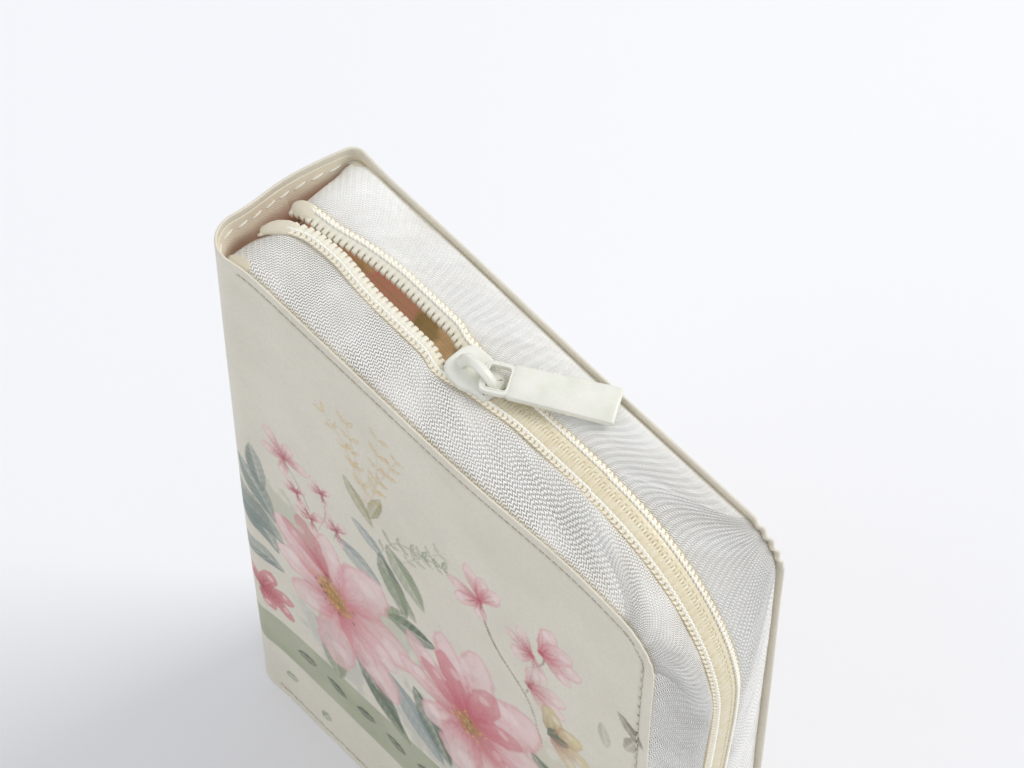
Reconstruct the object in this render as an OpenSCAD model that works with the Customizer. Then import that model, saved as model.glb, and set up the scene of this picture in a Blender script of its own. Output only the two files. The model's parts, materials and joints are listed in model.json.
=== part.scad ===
// Devotional book in a zip-round cover, standing on its tail edge.
// Frame: Z up the height of the book, X from spine to fore-edge, Y from front cover to back cover.
// The origin is at the middle of the footprint, on the surface that the book stands on.

/* [Cover] */
// Width of a closed cover, spine to fore-edge
cover_w = 150; // [140:1:165]
// Height of a cover, tail to head
cover_h = 216; // [200:1:235]
// Thickness of the closed book over its covers
book_t = 42; // [40:1:48]
// Radius of the two fore-edge corners of a cover
cover_r = 12; // [8:1:16]
// Thickness of the outer leatherette
skin_t = 1.0; // [0.8:0.1:1.2]
// Thickness of the cover boards and of the tape edge sewn beside them
board_t = 0.8; // [0.6:0.1:1.0]
// Thickness of the lining inside the covers
lining_t = 0.4; // [0.3:0.1:0.5]

/* [Spine] */
// Outer radius where the spine turns into the front cover
spine_front_r = 7.5; // [6:0.5:9]
// Outer radius where the spine turns into the back cover
spine_back_r = 3.5; // [3:0.5:5]
// How far the spine leans in from front to back
spine_lean = 2.5; // [0:0.5:3]

/* [Stitching] */
// Distance from a cover edge to its line of stitches
stitch_inset = 4.5; // [4:0.5:6]
// Distance from one stitch to the next
stitch_pitch = 4.2; // [3.6:0.2:5]
// Length of one visible stitch
stitch_len = 3.1; // [2.4:0.1:3.4]
// Width of the thread
thread_w = 0.5; // [0.4:0.1:0.7]
// How far the thread stands above what it is sewn through
thread_h = 0.3; // [0.2:0.1:0.4]

/* [Zip gusset] */
// How far the gusset is set in from the cover edges
gusset_inset = 1.5; // [1:0.1:2.5]
// Thickness of the woven zip tape
tape_t = 0.8; // [0.6:0.1:0.8]
// How far the fore-edge of the zip bulges past the covers
fore_bulge = 4.2; // [2:0.1:5]
// Radius of the turn that the coil makes at each fore-edge corner
chain_r = 44; // [38:1:48]
// Width of one side of the coil
coil_w = 2.6; // [2.4:0.1:2.8]
// Height of the coil across the tape
coil_h = 2.5; // [2.2:0.1:2.6]
// Half the widest opening between the parted coils
mouth_half = 3.5; // [2.8:0.1:4]

/* [Slider and pull] */
// Place of the slider along the head edge, from the middle of the book
slider_x = -7.9; // [-20:0.5:5]
// Length of the slider
slider_l = 15; // [14:0.5:16]
// Width of the slider at its mouth
slider_w = 11; // [10.6:0.2:12]
// Width of the slider at its narrow end
slider_tail_w = 7.6; // [7.4:0.1:8]
// Length of the pull from its bar to its far end
pull_l = 32; // [26:0.5:33]
// Width of the pull at its far end
pull_w = 10; // [8.4:0.2:10]
// Thickness of the pull
pull_t = 1.8; // [1.5:0.1:2]
// Angle between the pull and the zip when it lies flat
pull_yaw = 32; // [0:1:34]

/* [Page block] */
// Width of a page
page_w = 135; // [125:1:136]
// Height of a page
page_h = 196; // [180:1:196]
// Radius of the rounded page corners
page_r = 14; // [12:1:18]
// Number of sewn sections in the block
sections = 8; // [8:1:8]
// Width of the bound fold that the outer sections hinge on
fold_w = 7; // [6:0.5:9]

/* [Hidden] */
$fn = 48;

// The clearance kept between soft bodies that move past each other
clear = 0.3;

// X of the outside of the spine, of the cover edge and of the outermost part of the zip
x_spine = -(cover_w + fore_bulge) / 2;
x_edge = x_spine + cover_w;
x_far = x_edge + fore_bulge;
half_t = book_t / 2;

// Each cover hinges on its outer face, just past the spine's corner
front_hinge_x = x_spine + spine_front_r + 0.8;
back_hinge_x = x_spine + spine_lean + spine_back_r + 0.8;
cover_t = skin_t + board_t + lining_t;

// The board stops short of the cover's edge, and the tape's sewn edge stops short of the board
board_inset = 8;
sewn_edge = board_inset - gusset_inset - 0.5;

// The zip tape: its outer face at the coil, and the parted and closed coil edges
tape_z = cover_h - gusset_inset - 0.3;
coil_rise = 0.9;
coil_gap = 0.2;
gusset_end_x = x_spine + 4.7;
// How far the fore-edge of the zip pulls in at mid height
fore_bow = 2.4;
x_chain_turn = x_far - coil_rise - chain_r;
z_chain_turn = tape_z - chain_r;

// The page block
block_x = x_spine + 6;
block_z = (cover_h - page_h) / 2;
block_t = book_t - 2 * cover_t - 2 * 1.2;
section_t = (block_t - 2 * clear) / sections;
gutter_x = block_x + fold_w;
leaf_t = 0.3;

// Heights inside the slider: the bottom plate, the flanges and the top plate
plate_t = 1.4;
cavity_lo = tape_z - tape_t / 2 - coil_h / 2 - clear;
cavity_hi = tape_z - tape_t / 2 + coil_h / 2 + clear;
slot_lo = tape_z - tape_t - 0.4;
slot_hi = tape_z + 0.7;
slider_top = cavity_hi + plate_t;
crown_t = 1.8;
crown_rise = 4.2;
crown_x = 0.9;
crown_half_l = 5.9;
crown_eye_x = 2.4;
crown_eye_half_l = 3.3;
pull_z = slider_top + 0.4 + pull_t / 2;
pull_x = slider_x + crown_eye_x + 0.4;

// Colours
c_skin = [0.86, 0.84, 0.79];
c_lining = [0.90, 0.87, 0.80];
c_board = [0.66, 0.62, 0.55];
c_thread = [0.95, 0.94, 0.90];
c_tape = [0.94, 0.94, 0.93];
c_coil = [0.93, 0.89, 0.78];
c_metal = [0.90, 0.90, 0.86];
c_page = [0.72, 0.58, 0.42];
c_cloth = [0.88, 0.86, 0.80];

// ---- Shared helpers ----

function mix(a, b, t) = a + (b - a) * t;
function ease(t) = let (c = max(0, min(1, t))) c * c * (3 - 2 * c);

// Points of an arc, from one angle to the other
function arc(cx, cy, r, a0, a1, n = 12) =
    [for (i = [0:n]) [cx + r * cos(mix(a0, a1, i / n)), cy + r * sin(mix(a0, a1, i / n))]];

function reversed(list) = [for (i = [len(list) - 1:-1:0]) list[i]];

// A closed solid swept through equal rings of points. cap splits each end into flat faces.
module swept(rings, cap) {
    n = len(rings);
    k = len(rings[0]);
    points = [for (ring = rings) for (p = ring) p];
    sides = [for (i = [0:n - 2]) for (j = [0:k - 1])
        [i * k + j, i * k + (j + 1) % k, (i + 1) * k + (j + 1) % k, (i + 1) * k + j]];
    first = [for (face = cap) reversed(face)];
    last = [for (face = cap) [for (j = face) (n - 1) * k + j]];
    polyhedron(points, concat(sides, first, last), convexity = 8);
}

// Mirrors front pieces to the back when side is 1; front is side -1
module on_side(side) {
    if (side < 0) children();
    else mirror([0, 1, 0]) children();
}

// A flat sheet in the XZ plane with rounded fore-edge corners, its outer face at depth y, towards +Y
module cover_sheet(x0, inset, y, t, r) {
    x1 = x_edge - inset;
    z0 = inset;
    z1 = cover_h - inset;
    translate([0, y + t, 0]) rotate([90, 0, 0]) linear_extrude(t) union() {
        translate([x0, z0]) square([x1 - r - x0, z1 - z0]);
        translate([x0, z0 + r]) square([x1 - x0, z1 - z0 - 2 * r]);
        for (z = [z0 + r, z1 - r]) translate([x1 - r, z]) circle(r);
    }
}

// One stitch lying along X on a face at the origin that looks to -Y
module stitch() {
    translate([-stitch_len / 2, -thread_h, -thread_w / 2]) cube([stitch_len, thread_h, thread_w]);
}

// ---- Spine ----

spine_cf = [x_spine + spine_front_r, -half_t + spine_front_r];
spine_cb = [x_spine + spine_lean + spine_back_r, half_t - spine_back_r];
spine_d = spine_cb - spine_cf;
spine_n = atan2(spine_d[1], spine_d[0]) + acos((spine_front_r - spine_back_r) / norm(spine_d));

// The outline of the spine set in by a distance, from the front end to the back end
function spine_curve(off, xf, xb) = concat(
    [[xf, -half_t + off]],
    arc(spine_cf[0], spine_cf[1], spine_front_r - off, 270, spine_n),
    arc(spine_cb[0], spine_cb[1], spine_back_r - off, spine_n, 90),
    [[xb, half_t - off]]
);

// A layer of the spine between two depths
module spine_layer(off0, off1, xf, xb, z0, z1) {
    translate([0, 0, z0]) linear_extrude(z1 - z0)
        polygon(concat(spine_curve(off0, xf, xb), reversed(spine_curve(off1, xf, xb))));
}

module spine_skin() {
    color(c_skin)
        spine_layer(0, skin_t, front_hinge_x - clear, back_hinge_x - clear, 0, cover_h);
}

// The stiffener lies only behind the flat of the spine
module spine_stiffener() {
    off = skin_t;
    a = spine_cf + (spine_front_r - off) * [cos(spine_n), sin(spine_n)];
    b = spine_cb + (spine_back_r - off) * [cos(spine_n), sin(spine_n)];
    inward = -board_t * [cos(spine_n), sin(spine_n)];
    color(c_board) translate([0, 0, 8]) linear_extrude(cover_h - 16)
        polygon([a, b, b + inward, a + inward]);
}

// The lining follows the skin and steps over the stiffener
module spine_lining() {
    color(c_lining)
        spine_layer(skin_t + board_t, skin_t + board_t + lining_t,
            front_hinge_x - clear, back_hinge_x - clear, 0.6, cover_h - 0.6);
}

// A row of stitches across the inside of the spine, near one end
module spine_stitches(z) {
    off = skin_t + board_t + lining_t;
    a = spine_cf + (spine_front_r - off) * [cos(spine_n), sin(spine_n)];
    b = spine_cb + (spine_back_r - off) * [cos(spine_n), sin(spine_n)];
    count = floor(norm(b - a) / stitch_pitch);
    for (i = [0:count - 1]) {
        p = a + (b - a) * (i + 0.5) / count;
        translate([p[0], p[1], z]) rotate([0, 0, spine_n - 90]) stitch();
    }
}
module spine_head_stitching() {
    color(c_thread) spine_stitches(cover_h - 3);
}
module spine_tail_stitching() {
    color(c_thread) spine_stitches(3);
}

// ---- Page block ----

// The depth of the front face of a section, counted from 0 at the front
function section_y(i) =
    -block_t / 2 + i * section_t + (i >= 2 ? clear : 0) + (i >= 6 ? clear : 0);

// A pile of leaves with rounded fore-edge corners
module leaves(x0, y, t) {
    x1 = block_x + page_w;
    z0 = block_z;
    z1 = block_z + page_h;
    translate([0, y + t, 0]) rotate([90, 0, 0]) linear_extrude(t) union() {
        translate([x0, z0]) square([x1 - page_r - x0, z1 - z0]);
        translate([x0, z0 + page_r]) square([x1 - x0, z1 - z0 - 2 * page_r]);
        for (z = [z0 + page_r, z1 - page_r]) translate([x1 - page_r, z]) circle(page_r);
    }
}

// The two outermost sections on each side turn about the gutter, so they start past it
module page_section(i) {
    turns = i < 2 || i > 5;
    color(c_page) leaves(turns ? gutter_x + 0.2 : block_x, section_y(i), section_t);
}
module page_section_1() { page_section(0); }
module page_section_2() { page_section(1); }
module page_section_3() { page_section(2); }
module page_section_4() { page_section(3); }
module page_section_5() { page_section(4); }
module page_section_6() { page_section(5); }
module page_section_7() { page_section(6); }
module page_section_8() { page_section(7); }

// The sewn folds that the turning sections leave at the spine
module section_folds() {
    color(c_page) translate([block_x, section_y(0), block_z])
        cube([fold_w - 0.1, 2 * section_t, page_h]);
}
module front_section_folds() { section_folds(); }
module back_section_folds() {
    mirror([0, 1, 0]) section_folds();
}

module flyleaf() {
    color(c_lining) leaves(gutter_x + 0.2, -block_t / 2 - 0.4 - leaf_t, leaf_t);
}
module front_flyleaf() { flyleaf(); }
module back_flyleaf() {
    mirror([0, 1, 0]) flyleaf();
}

module spine_cloth() {
    t = 0.5;
    color(c_cloth) translate([block_x - t, -block_t / 2, block_z + 6])
        cube([t, block_t, page_h - 12]);
}

// A bead of woven band at one end of the block's back
module band(z) {
    translate([block_x + 0.8, block_t / 2, z]) rotate([90, 0, 0]) cylinder(h = block_t, r = 0.8);
}
module head_band() {
    color(c_thread) band(block_z + page_h + 0.8);
}
module tail_band() {
    color(c_thread) band(block_z - 0.8);
}

// ---- Covers ----

// X where a cover's layers begin, for the front (-1) or the back (1)
function hinge_x(side) = side < 0 ? front_hinge_x : back_hinge_x;

module cover_skin(side) {
    color(c_skin) on_side(side)
        cover_sheet(hinge_x(side) + clear, 0, -half_t, skin_t, cover_r);
}
module cover_board(side) {
    color(c_board) on_side(side)
        cover_sheet(hinge_x(side) + 2, board_inset, -half_t + skin_t, board_t, cover_r - board_inset);
}
module cover_lining(side) {
    inset = gusset_inset + tape_t + 0.3;
    color(c_lining) on_side(side)
        cover_sheet(hinge_x(side) + 1, inset, -half_t + skin_t + board_t, lining_t, cover_r - inset);
}

// Stitches along the head, the fore-edge, the tail and the two corners between them
module cover_stitching(side) {
    x0 = hinge_x(side) + 3;
    x1 = x_edge - cover_r;
    r = cover_r - stitch_inset;
    runs = floor((x1 - x0) / stitch_pitch);
    rises = floor((cover_h - 2 * cover_r) / stitch_pitch);
    turns = max(1, round(r * 90 * PI / 180 / stitch_pitch));
    color(c_thread) on_side(side) translate([0, -half_t, 0]) {
        for (z = [stitch_inset, cover_h - stitch_inset], i = [0:runs - 1])
            translate([mix(x0, x1, (i + 0.5) / runs), 0, z]) stitch();
        for (i = [0:rises - 1])
            translate([x_edge - stitch_inset, 0, mix(cover_r, cover_h - cover_r, (i + 0.5) / rises)])
                rotate([0, 90, 0]) stitch();
        for (top = [0, 1], i = [0:turns - 1]) {
            a = (i + 0.5) * 90 / turns;
            translate([x1 + r * cos(a), 0, top ? cover_h - cover_r + r * sin(a) : cover_r - r * sin(a)])
                rotate([0, top ? 90 - a : 90 + a, 0]) stitch();
        }
    }
}

module front_cover_skin() { cover_skin(-1); }
module front_cover_board() { cover_board(-1); }
module front_cover_lining() { cover_lining(-1); }
module front_cover_stitching() { cover_stitching(-1); }
module back_cover_skin() { cover_skin(1); }
module back_cover_board() { cover_board(1); }
module back_cover_lining() { cover_lining(1); }
module back_cover_stitching() { cover_stitching(1); }

// ---- Zip tape, coil and thread ----
// The gusset follows a rounded U round the head, the fore-edge and the tail. Its corner radius grows
// from the cover's own at the cover, v = 0, to the coil's wide turn in the middle, v = 1.

HEAD_STEPS = 20;
TURN_STEPS = 8;
SIDE_STEPS = 6;

function u_radius(v) = mix(cover_r - gusset_inset, chain_r, ease(v));
function u_fore_x(v) = mix(x_edge - gusset_inset, x_far - coil_rise, ease(v));
function u_head_z(v) = mix(cover_h - gusset_inset, tape_z, ease(v));
function u_end_x(v, side) = mix(hinge_x(side) + clear, gusset_end_x, ease(3 * v));
function u_bow(v) = fore_bow * ease(v);

// A point on the upper half of the U, set in by d: the head, then the turn, then down to mid height
function u_upper(i, v, d, side) =
    let (r = u_radius(v) - d, x1 = u_fore_x(v) - d, z1 = u_head_z(v) - d, half = cover_h / 2)
    i <= HEAD_STEPS
        ? [mix(u_end_x(v, side), x1 - r, i / HEAD_STEPS), z1]
    : i <= HEAD_STEPS + TURN_STEPS
        ? let (a = 90 * (1 - (i - HEAD_STEPS) / TURN_STEPS)) [x1 - r + r * cos(a), z1 - r + r * sin(a)]
        : let (t = (i - HEAD_STEPS - TURN_STEPS) / SIDE_STEPS)
            [x1 - u_bow(v) * ease(t), mix(z1 - r, half, t)];

U_HALF = HEAD_STEPS + TURN_STEPS + SIDE_STEPS;
// The whole U: the lower half mirrors the upper
function u_point(i, v, d, side) =
    i <= U_HALF
        ? u_upper(i, v, d, side)
        : let (p = u_upper(2 * U_HALF - i, v, d, side)) [p[0], cover_h - p[1]];

// Half the gap between the coils along the head: closed past the slider, parted towards the spine
open_mouth_x = slider_x - slider_l / 2;
function coil_half_gap(x) =
    coil_gap
    + 1.5 * ease((slider_x + 4 - x) / 8)
    + 0.9 * ease((open_mouth_x - x) / 6)
    + (mouth_half - 2.6) * (x < open_mouth_x && x > gusset_end_x
        ? sin(180 * (open_mouth_x - x) / (open_mouth_x - gusset_end_x)) : 0);

// The tape reaches from the cover to the outer side of the coil
function tape_edge(i) = i <= HEAD_STEPS
    ? coil_half_gap(u_point(i, 1, 0, -1)[0]) + coil_w
    : coil_gap + coil_w;

// The tape's section: a flat edge sewn under the skin, then the wall out to the coil
WALL_STEPS = 5;
function tape_ring(i, side) =
    let (
        y_out = half_t - skin_t,
        y_in = y_out - board_t,
        flat = [[sewn_edge, y_out], [0.4, y_out]],
        outer = [for (j = [0:WALL_STEPS]) j / WALL_STEPS],
        flat_pts = [for (f = flat) let (p = u_point(i, 0, f[0], side)) [p[0], -f[1], p[1]]],
        outer_pts = [for (v = outer) let (p = u_point(i, v, 0, side))
            [p[0], -mix(y_in, tape_edge(i), v), p[1]]],
        inner_pts = [for (j = [WALL_STEPS:-1:0]) let (v = j / WALL_STEPS, p = u_point(i, v, tape_t, side))
            [p[0], -mix(y_in, tape_edge(i), v), p[1]]],
        back_pt = let (p = u_point(i, 0, sewn_edge, side)) [[p[0], -y_in, p[1]]]
    )
    concat(flat_pts, outer_pts, inner_pts, back_pt);

// An end of the tape: two faces close the sewn edge, and each step of the wall has its own
TAPE_CAP = concat(
    [[0, 1, 2 * WALL_STEPS + 3, 2 * WALL_STEPS + 4], [1, 2, 2 * WALL_STEPS + 3]],
    [for (j = [2:WALL_STEPS + 1]) [j, j + 1, 2 * WALL_STEPS + 4 - j, 2 * WALL_STEPS + 5 - j]]
);

module zip_tape(side) {
    color(c_tape) on_side(side) swept([for (i = [0:2 * U_HALF]) tape_ring(i, side)], TAPE_CAP);
}

// A bar beside the coil gap, between two distances from it and two heights about the tape
function bar_ring(i, y0, y1, out, in) =
    let (
        g = i <= HEAD_STEPS ? coil_half_gap(u_point(i, 1, 0, -1)[0]) : coil_gap,
        p = u_point(i, 1, -out, -1),
        q = u_point(i, 1, in, -1)
    )
    [[p[0], -g - y1, p[1]], [p[0], -g - y0, p[1]], [q[0], -g - y0, q[1]], [q[0], -g - y1, q[1]]];

BAR_CAP = [[0, 1, 2, 3]];

module zip_coil(side) {
    under = coil_h - coil_rise;
    color(c_coil) on_side(side)
        swept([for (i = [0:2 * U_HALF]) bar_ring(i, 0, coil_w, coil_rise, under)], BAR_CAP);
}

// The thread lies on the tape, which rises away from the coil
module coil_thread(side) {
    color(c_thread) on_side(side)
        swept([for (i = [0:2 * U_HALF]) bar_ring(i, coil_w + 0.1, coil_w + 0.6, 0.6, -0.3)], BAR_CAP);
}

// A folded end of lining cloth sewn over each spine end of the tape
module zip_end_tabs(side) {
    t = 0.6;
    x0 = gusset_end_x + 0.2;
    y0 = half_t - 7;
    color(c_cloth) on_side(side) for (z = [cover_h - gusset_inset - tape_t - t - 0.4, gusset_inset + tape_t + 0.4])
        translate([x0, -y0, z]) cube([6, y0 - 7, t]);
}

module front_zip_tape() { zip_tape(-1); }
module front_zip_coil() { zip_coil(-1); }
module front_coil_thread() { coil_thread(-1); }
module front_zip_end_tabs() { zip_end_tabs(-1); }
module back_zip_tape() { zip_tape(1); }
module back_zip_coil() { zip_coil(1); }
module back_coil_thread() { coil_thread(1); }
module back_zip_end_tabs() { zip_end_tabs(1); }

// ---- Slider and pull ----

// Plan of the slider, set in by d: a wide mouth towards the spine and a narrow tail
module slider_plan(d = 0) {
    half = slider_l / 2;
    m = slider_w / 2 - d;
    n = slider_tail_w / 2 - d;
    polygon([
        [-half, 1.8], [-half + 0.7, 3.6], [-half + 2.2, m - 0.5], [-half + 4.2, m], [0.6, m],
        [3.0, n + 0.3], [half, n],
        [half, -n], [3.0, -n - 0.3], [0.6, -m], [-half + 4.2, -m], [-half + 2.2, -m + 0.5],
        [-half + 0.7, -3.6], [-half, -1.8]
    ]);
}

// A rail along both sides of the slider, open at the mouth and the tail
module slider_rail(z0, z1) {
    wall = 0.8;
    translate([0, 0, z0]) linear_extrude(z1 - z0) difference() {
        slider_plan();
        slider_plan(wall);
        square([2 * slider_l, 4], center = true);
        translate([-slider_l, -slider_w / 2 - 1]) square([slider_l / 2 + 3.2, slider_w + 2]);
    }
}

module slider_body() {
    color(c_metal) translate([slider_x, 0, 0]) union() {
        translate([0, 0, cavity_hi]) linear_extrude(plate_t) slider_plan();
        translate([0, 0, cavity_lo - plate_t]) linear_extrude(plate_t) slider_plan();
        // The wedge that parts the coils also ties the plates together
        translate([0, 0, cavity_lo]) linear_extrude(cavity_hi - cavity_lo)
            polygon([[-slider_l / 2 + 0.2, 1.2], [-slider_l / 2 + 2.6, 1.1], [-slider_l / 2 + 4.6, 0.4],
                [-slider_l / 2 + 4.6, -0.4], [-slider_l / 2 + 2.6, -1.1], [-slider_l / 2 + 0.2, -1.2]]);
        slider_rail(cavity_lo, slot_lo);
        slider_rail(slot_hi, cavity_hi);
    }
}

// Half an ellipse standing on its long axis, from right to left
function half_ellipse(cx, rx, rz) = [for (a = [0:7.5:180]) [cx + rx * cos(a), rz * sin(a)]];

// The arch that holds the pull, seen from the side
module slider_crown() {
    color(c_metal) translate([slider_x, crown_t / 2, slider_top]) rotate([90, 0, 0])
        linear_extrude(crown_t) polygon(concat(
            half_ellipse(crown_x, crown_half_l, crown_rise),
            reversed(half_ellipse(crown_eye_x, crown_eye_half_l, crown_rise - 1.2))
        ));
}

// A flat bar with a window at its near end, which loops through the crown
module pull_tab() {
    window_x0 = 0.7;
    window_x1 = 6.5;
    window_half = 3;
    neck_half = 4.2;
    half = pull_w / 2;
    r = 0.8;
    color(c_metal) translate([pull_x, 0, pull_z]) rotate([0, 0, pull_yaw])
        translate([0, 0, -pull_t / 2]) linear_extrude(pull_t) difference() {
            polygon([[-window_x0, -3.2], [0, -neck_half], [8, -neck_half - 0.2], [pull_l - r, -half],
                [pull_l, -half + r], [pull_l, half - r], [pull_l - r, half], [8, neck_half + 0.2],
                [0, neck_half], [-window_x0, 3.2]]);
            translate([window_x0, -window_half]) square([window_x1 - window_x0, 2 * window_half]);
        }
}

// ---- Assembly ----

spine_skin();
spine_stiffener();
spine_lining();
spine_head_stitching();
spine_tail_stitching();
spine_cloth();
head_band();
tail_band();
front_section_folds();
back_section_folds();
page_section_1();
page_section_2();
page_section_3();
page_section_4();
page_section_5();
page_section_6();
page_section_7();
page_section_8();
front_flyleaf();
back_flyleaf();
front_cover_skin();
front_cover_board();
front_cover_lining();
front_cover_stitching();
front_zip_tape();
front_zip_coil();
front_coil_thread();
front_zip_end_tabs();
back_cover_skin();
back_cover_board();
back_cover_lining();
back_cover_stitching();
back_zip_tape();
back_zip_coil();
back_coil_thread();
back_zip_end_tabs();
slider_body();
slider_crown();
pull_tab();
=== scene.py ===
"""Looks of a zip-round prayer book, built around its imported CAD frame.

Lengths in this script are millimetres in the row frame, and become metres where a mesh is made.
+X runs from spine to fore-edge, +Y from front cover to back cover, +Z from tail to head.
"""
import json
import math

import bmesh
import bpy
import numpy as np
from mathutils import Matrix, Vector


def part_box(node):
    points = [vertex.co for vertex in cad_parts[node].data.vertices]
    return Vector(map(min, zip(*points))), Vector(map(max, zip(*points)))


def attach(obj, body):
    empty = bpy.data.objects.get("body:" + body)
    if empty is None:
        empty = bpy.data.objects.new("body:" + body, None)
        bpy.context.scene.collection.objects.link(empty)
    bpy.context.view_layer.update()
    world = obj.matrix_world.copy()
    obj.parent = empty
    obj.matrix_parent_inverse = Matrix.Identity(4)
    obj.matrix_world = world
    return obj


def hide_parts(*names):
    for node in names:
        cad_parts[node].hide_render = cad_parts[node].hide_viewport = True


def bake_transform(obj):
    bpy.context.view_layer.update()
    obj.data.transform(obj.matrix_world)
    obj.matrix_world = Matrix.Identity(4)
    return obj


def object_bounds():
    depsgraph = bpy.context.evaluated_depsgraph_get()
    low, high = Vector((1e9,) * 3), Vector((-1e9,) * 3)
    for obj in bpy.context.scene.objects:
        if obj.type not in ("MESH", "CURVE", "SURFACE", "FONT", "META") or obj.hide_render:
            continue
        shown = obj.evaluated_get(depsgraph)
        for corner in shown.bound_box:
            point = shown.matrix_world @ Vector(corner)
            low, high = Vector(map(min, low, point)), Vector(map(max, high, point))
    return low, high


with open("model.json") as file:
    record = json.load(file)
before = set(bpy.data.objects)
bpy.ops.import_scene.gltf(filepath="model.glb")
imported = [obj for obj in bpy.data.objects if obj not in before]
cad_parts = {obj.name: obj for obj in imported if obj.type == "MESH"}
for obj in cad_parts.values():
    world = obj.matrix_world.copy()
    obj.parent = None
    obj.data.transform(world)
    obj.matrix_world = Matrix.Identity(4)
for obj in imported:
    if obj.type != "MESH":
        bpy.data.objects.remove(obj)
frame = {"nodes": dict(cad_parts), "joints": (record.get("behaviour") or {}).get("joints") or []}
CAD_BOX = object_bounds()

MM = 0.001
TAU = 2 * math.pi


# ---------------------------------------------------------------- sizes from the frame

def box_mm(node):
    """Lowest and highest corner of a CAD node, in millimetres."""
    lo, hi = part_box(node)
    return np.array(lo) / MM, np.array(hi) / MM


JOINT = {j["name"]: j for j in frame["joints"]}
FRONT, BACK = -1, 1
SIDE_NAME = {FRONT: "front", BACK: "back"}

X_SPINE = box_mm("spine_skin")[0][0]
X_EDGE = box_mm("front_cover_skin")[1][0]
HEIGHT = box_mm("front_cover_skin")[1][2]
HALF_T = -box_mm("front_cover_skin")[0][1]
X_FAR = box_mm("front_zip_coil")[1][0]
HINGE_X = {side: JOINT[f"{SIDE_NAME[side]}_cover_hinge"]["pos_m"][0] / MM for side in (FRONT, BACK)}
SLIDER_LO, SLIDER_HI = box_mm("slider_body")
SLIDER_X = (SLIDER_LO[0] + SLIDER_HI[0]) / 2
PULL_POS = np.array(JOINT["pull_flip"]["pos_m"]) / MM
PULL_AXIS = JOINT["pull_flip"]["axis"]
BLOCK_LO, BLOCK_HI = box_mm("page_section_4")

COVER_R = 12.0
CORNER_X = {side: HINGE_X[side] - 0.8 for side in (FRONT, BACK)}
CORNER_R = {FRONT: CORNER_X[FRONT] - X_SPINE, BACK: 3.5}


def ease(t):
    t = np.clip(t, 0, 1)
    return t * t * (3 - 2 * t)


def mix(a, b, t):
    return a + (b - a) * t


def gauss(x, width):
    return np.exp(-((x / width) ** 2))


# ---------------------------------------------------------------- smooth noise

def lattice_noise(x, y, scale, seed):
    """Value noise from 0 to 1 with features of about the given size."""
    table = np.random.default_rng(seed).random((64, 64))
    gx, gy = np.asarray(x) / scale, np.asarray(y) / scale
    ix, iy = np.floor(gx).astype(int), np.floor(gy).astype(int)
    fx, fy = ease(gx - ix), ease(gy - iy)
    a, b = table[ix % 64, iy % 64], table[(ix + 1) % 64, iy % 64]
    c, d = table[ix % 64, (iy + 1) % 64], table[(ix + 1) % 64, (iy + 1) % 64]
    return mix(mix(a, b, fx), mix(c, d, fx), fy)


def cloud(x, y, scale, seed, octaves=3):
    """Several octaves of noise, from about 0 to 1."""
    total, weight = 0, 0
    for k in range(octaves):
        total = total + lattice_noise(x, y, scale / 2**k, seed + k) / 2**k
        weight += 1 / 2**k
    return total / weight


# ---------------------------------------------------------------- mesh helpers

def add_to_scene(name, data):
    obj = bpy.data.objects.new(name, data)
    bpy.context.scene.collection.objects.link(obj)
    return obj


def make_object(name, verts, faces):
    """A smooth mesh object from points in millimetres."""
    mesh = bpy.data.meshes.new(name)
    verts = np.asarray(verts, float).reshape(-1, 3)
    mesh.from_pydata((verts * MM).tolist(), [], [list(f) for f in faces])
    bm = bmesh.new()
    bm.from_mesh(mesh)
    bmesh.ops.recalc_face_normals(bm, faces=bm.faces)
    bm.to_mesh(mesh)
    bm.free()
    mesh.shade_smooth()
    set_vector(mesh, "rest_mm", verts)
    return add_to_scene(name, mesh)


def join_objects(a, b):
    """Puts b's mesh into a, and removes b."""
    bm = bmesh.new()
    bm.from_mesh(a.data)
    bm.from_mesh(b.data)
    bm.to_mesh(a.data)
    bm.free()
    bpy.data.objects.remove(b)
    return a


def set_vector(mesh, name, values):
    layer = mesh.attributes.new(name, "FLOAT_VECTOR", "POINT")
    layer.data.foreach_set("vector", np.asarray(values, np.float32).ravel())


def set_color(mesh, name, rgb):
    layer = mesh.attributes.new(name, "FLOAT_COLOR", "POINT")
    rgba = np.concatenate([rgb, np.ones((len(rgb), 1))], axis=1)
    layer.data.foreach_set("color", rgba.astype(np.float32).ravel())


def grid_faces(rows, cols, start=0, around=False):
    """Quads between neighbours of a grid of points. around also joins the last column to the first."""
    i = np.arange(rows - 1)[:, None]
    j = np.arange(cols if around else cols - 1)[None, :]
    k = (j + 1) % cols
    quads = np.stack([i * cols + j, i * cols + k, (i + 1) * cols + k, (i + 1) * cols + j], axis=-1)
    return (quads.reshape(-1, 4) + start).tolist()


def sweep(rings):
    """Points and faces of a solid through equal rings of points."""
    rings = np.asarray(rings, float)
    n, k = rings.shape[:2]
    caps = [list(range(k))[::-1], list(range((n - 1) * k, n * k))]
    return rings.reshape(-1, 3), grid_faces(n, k, around=True) + caps


def join_parts(parts):
    """One list of points and faces from several."""
    verts, faces, start = [], [], 0
    for v, f in parts:
        verts.append(v)
        faces += [[i + start for i in face] for face in f]
        start += len(v)
    return np.concatenate(verts), faces


def border(rows, cols, closed):
    """Grid indices round the tail, fore-edge and head sides, and back down the spine side if closed."""
    path = [(0, j) for j in range(cols)]
    path += [(i, cols - 1) for i in range(1, rows)]
    path += [(rows - 1, j) for j in range(cols - 2, -1, -1)]
    if closed:
        path += [(i, 0) for i in range(rows - 2, 0, -1)]
    return np.array([i * cols + j for i, j in path])


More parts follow.
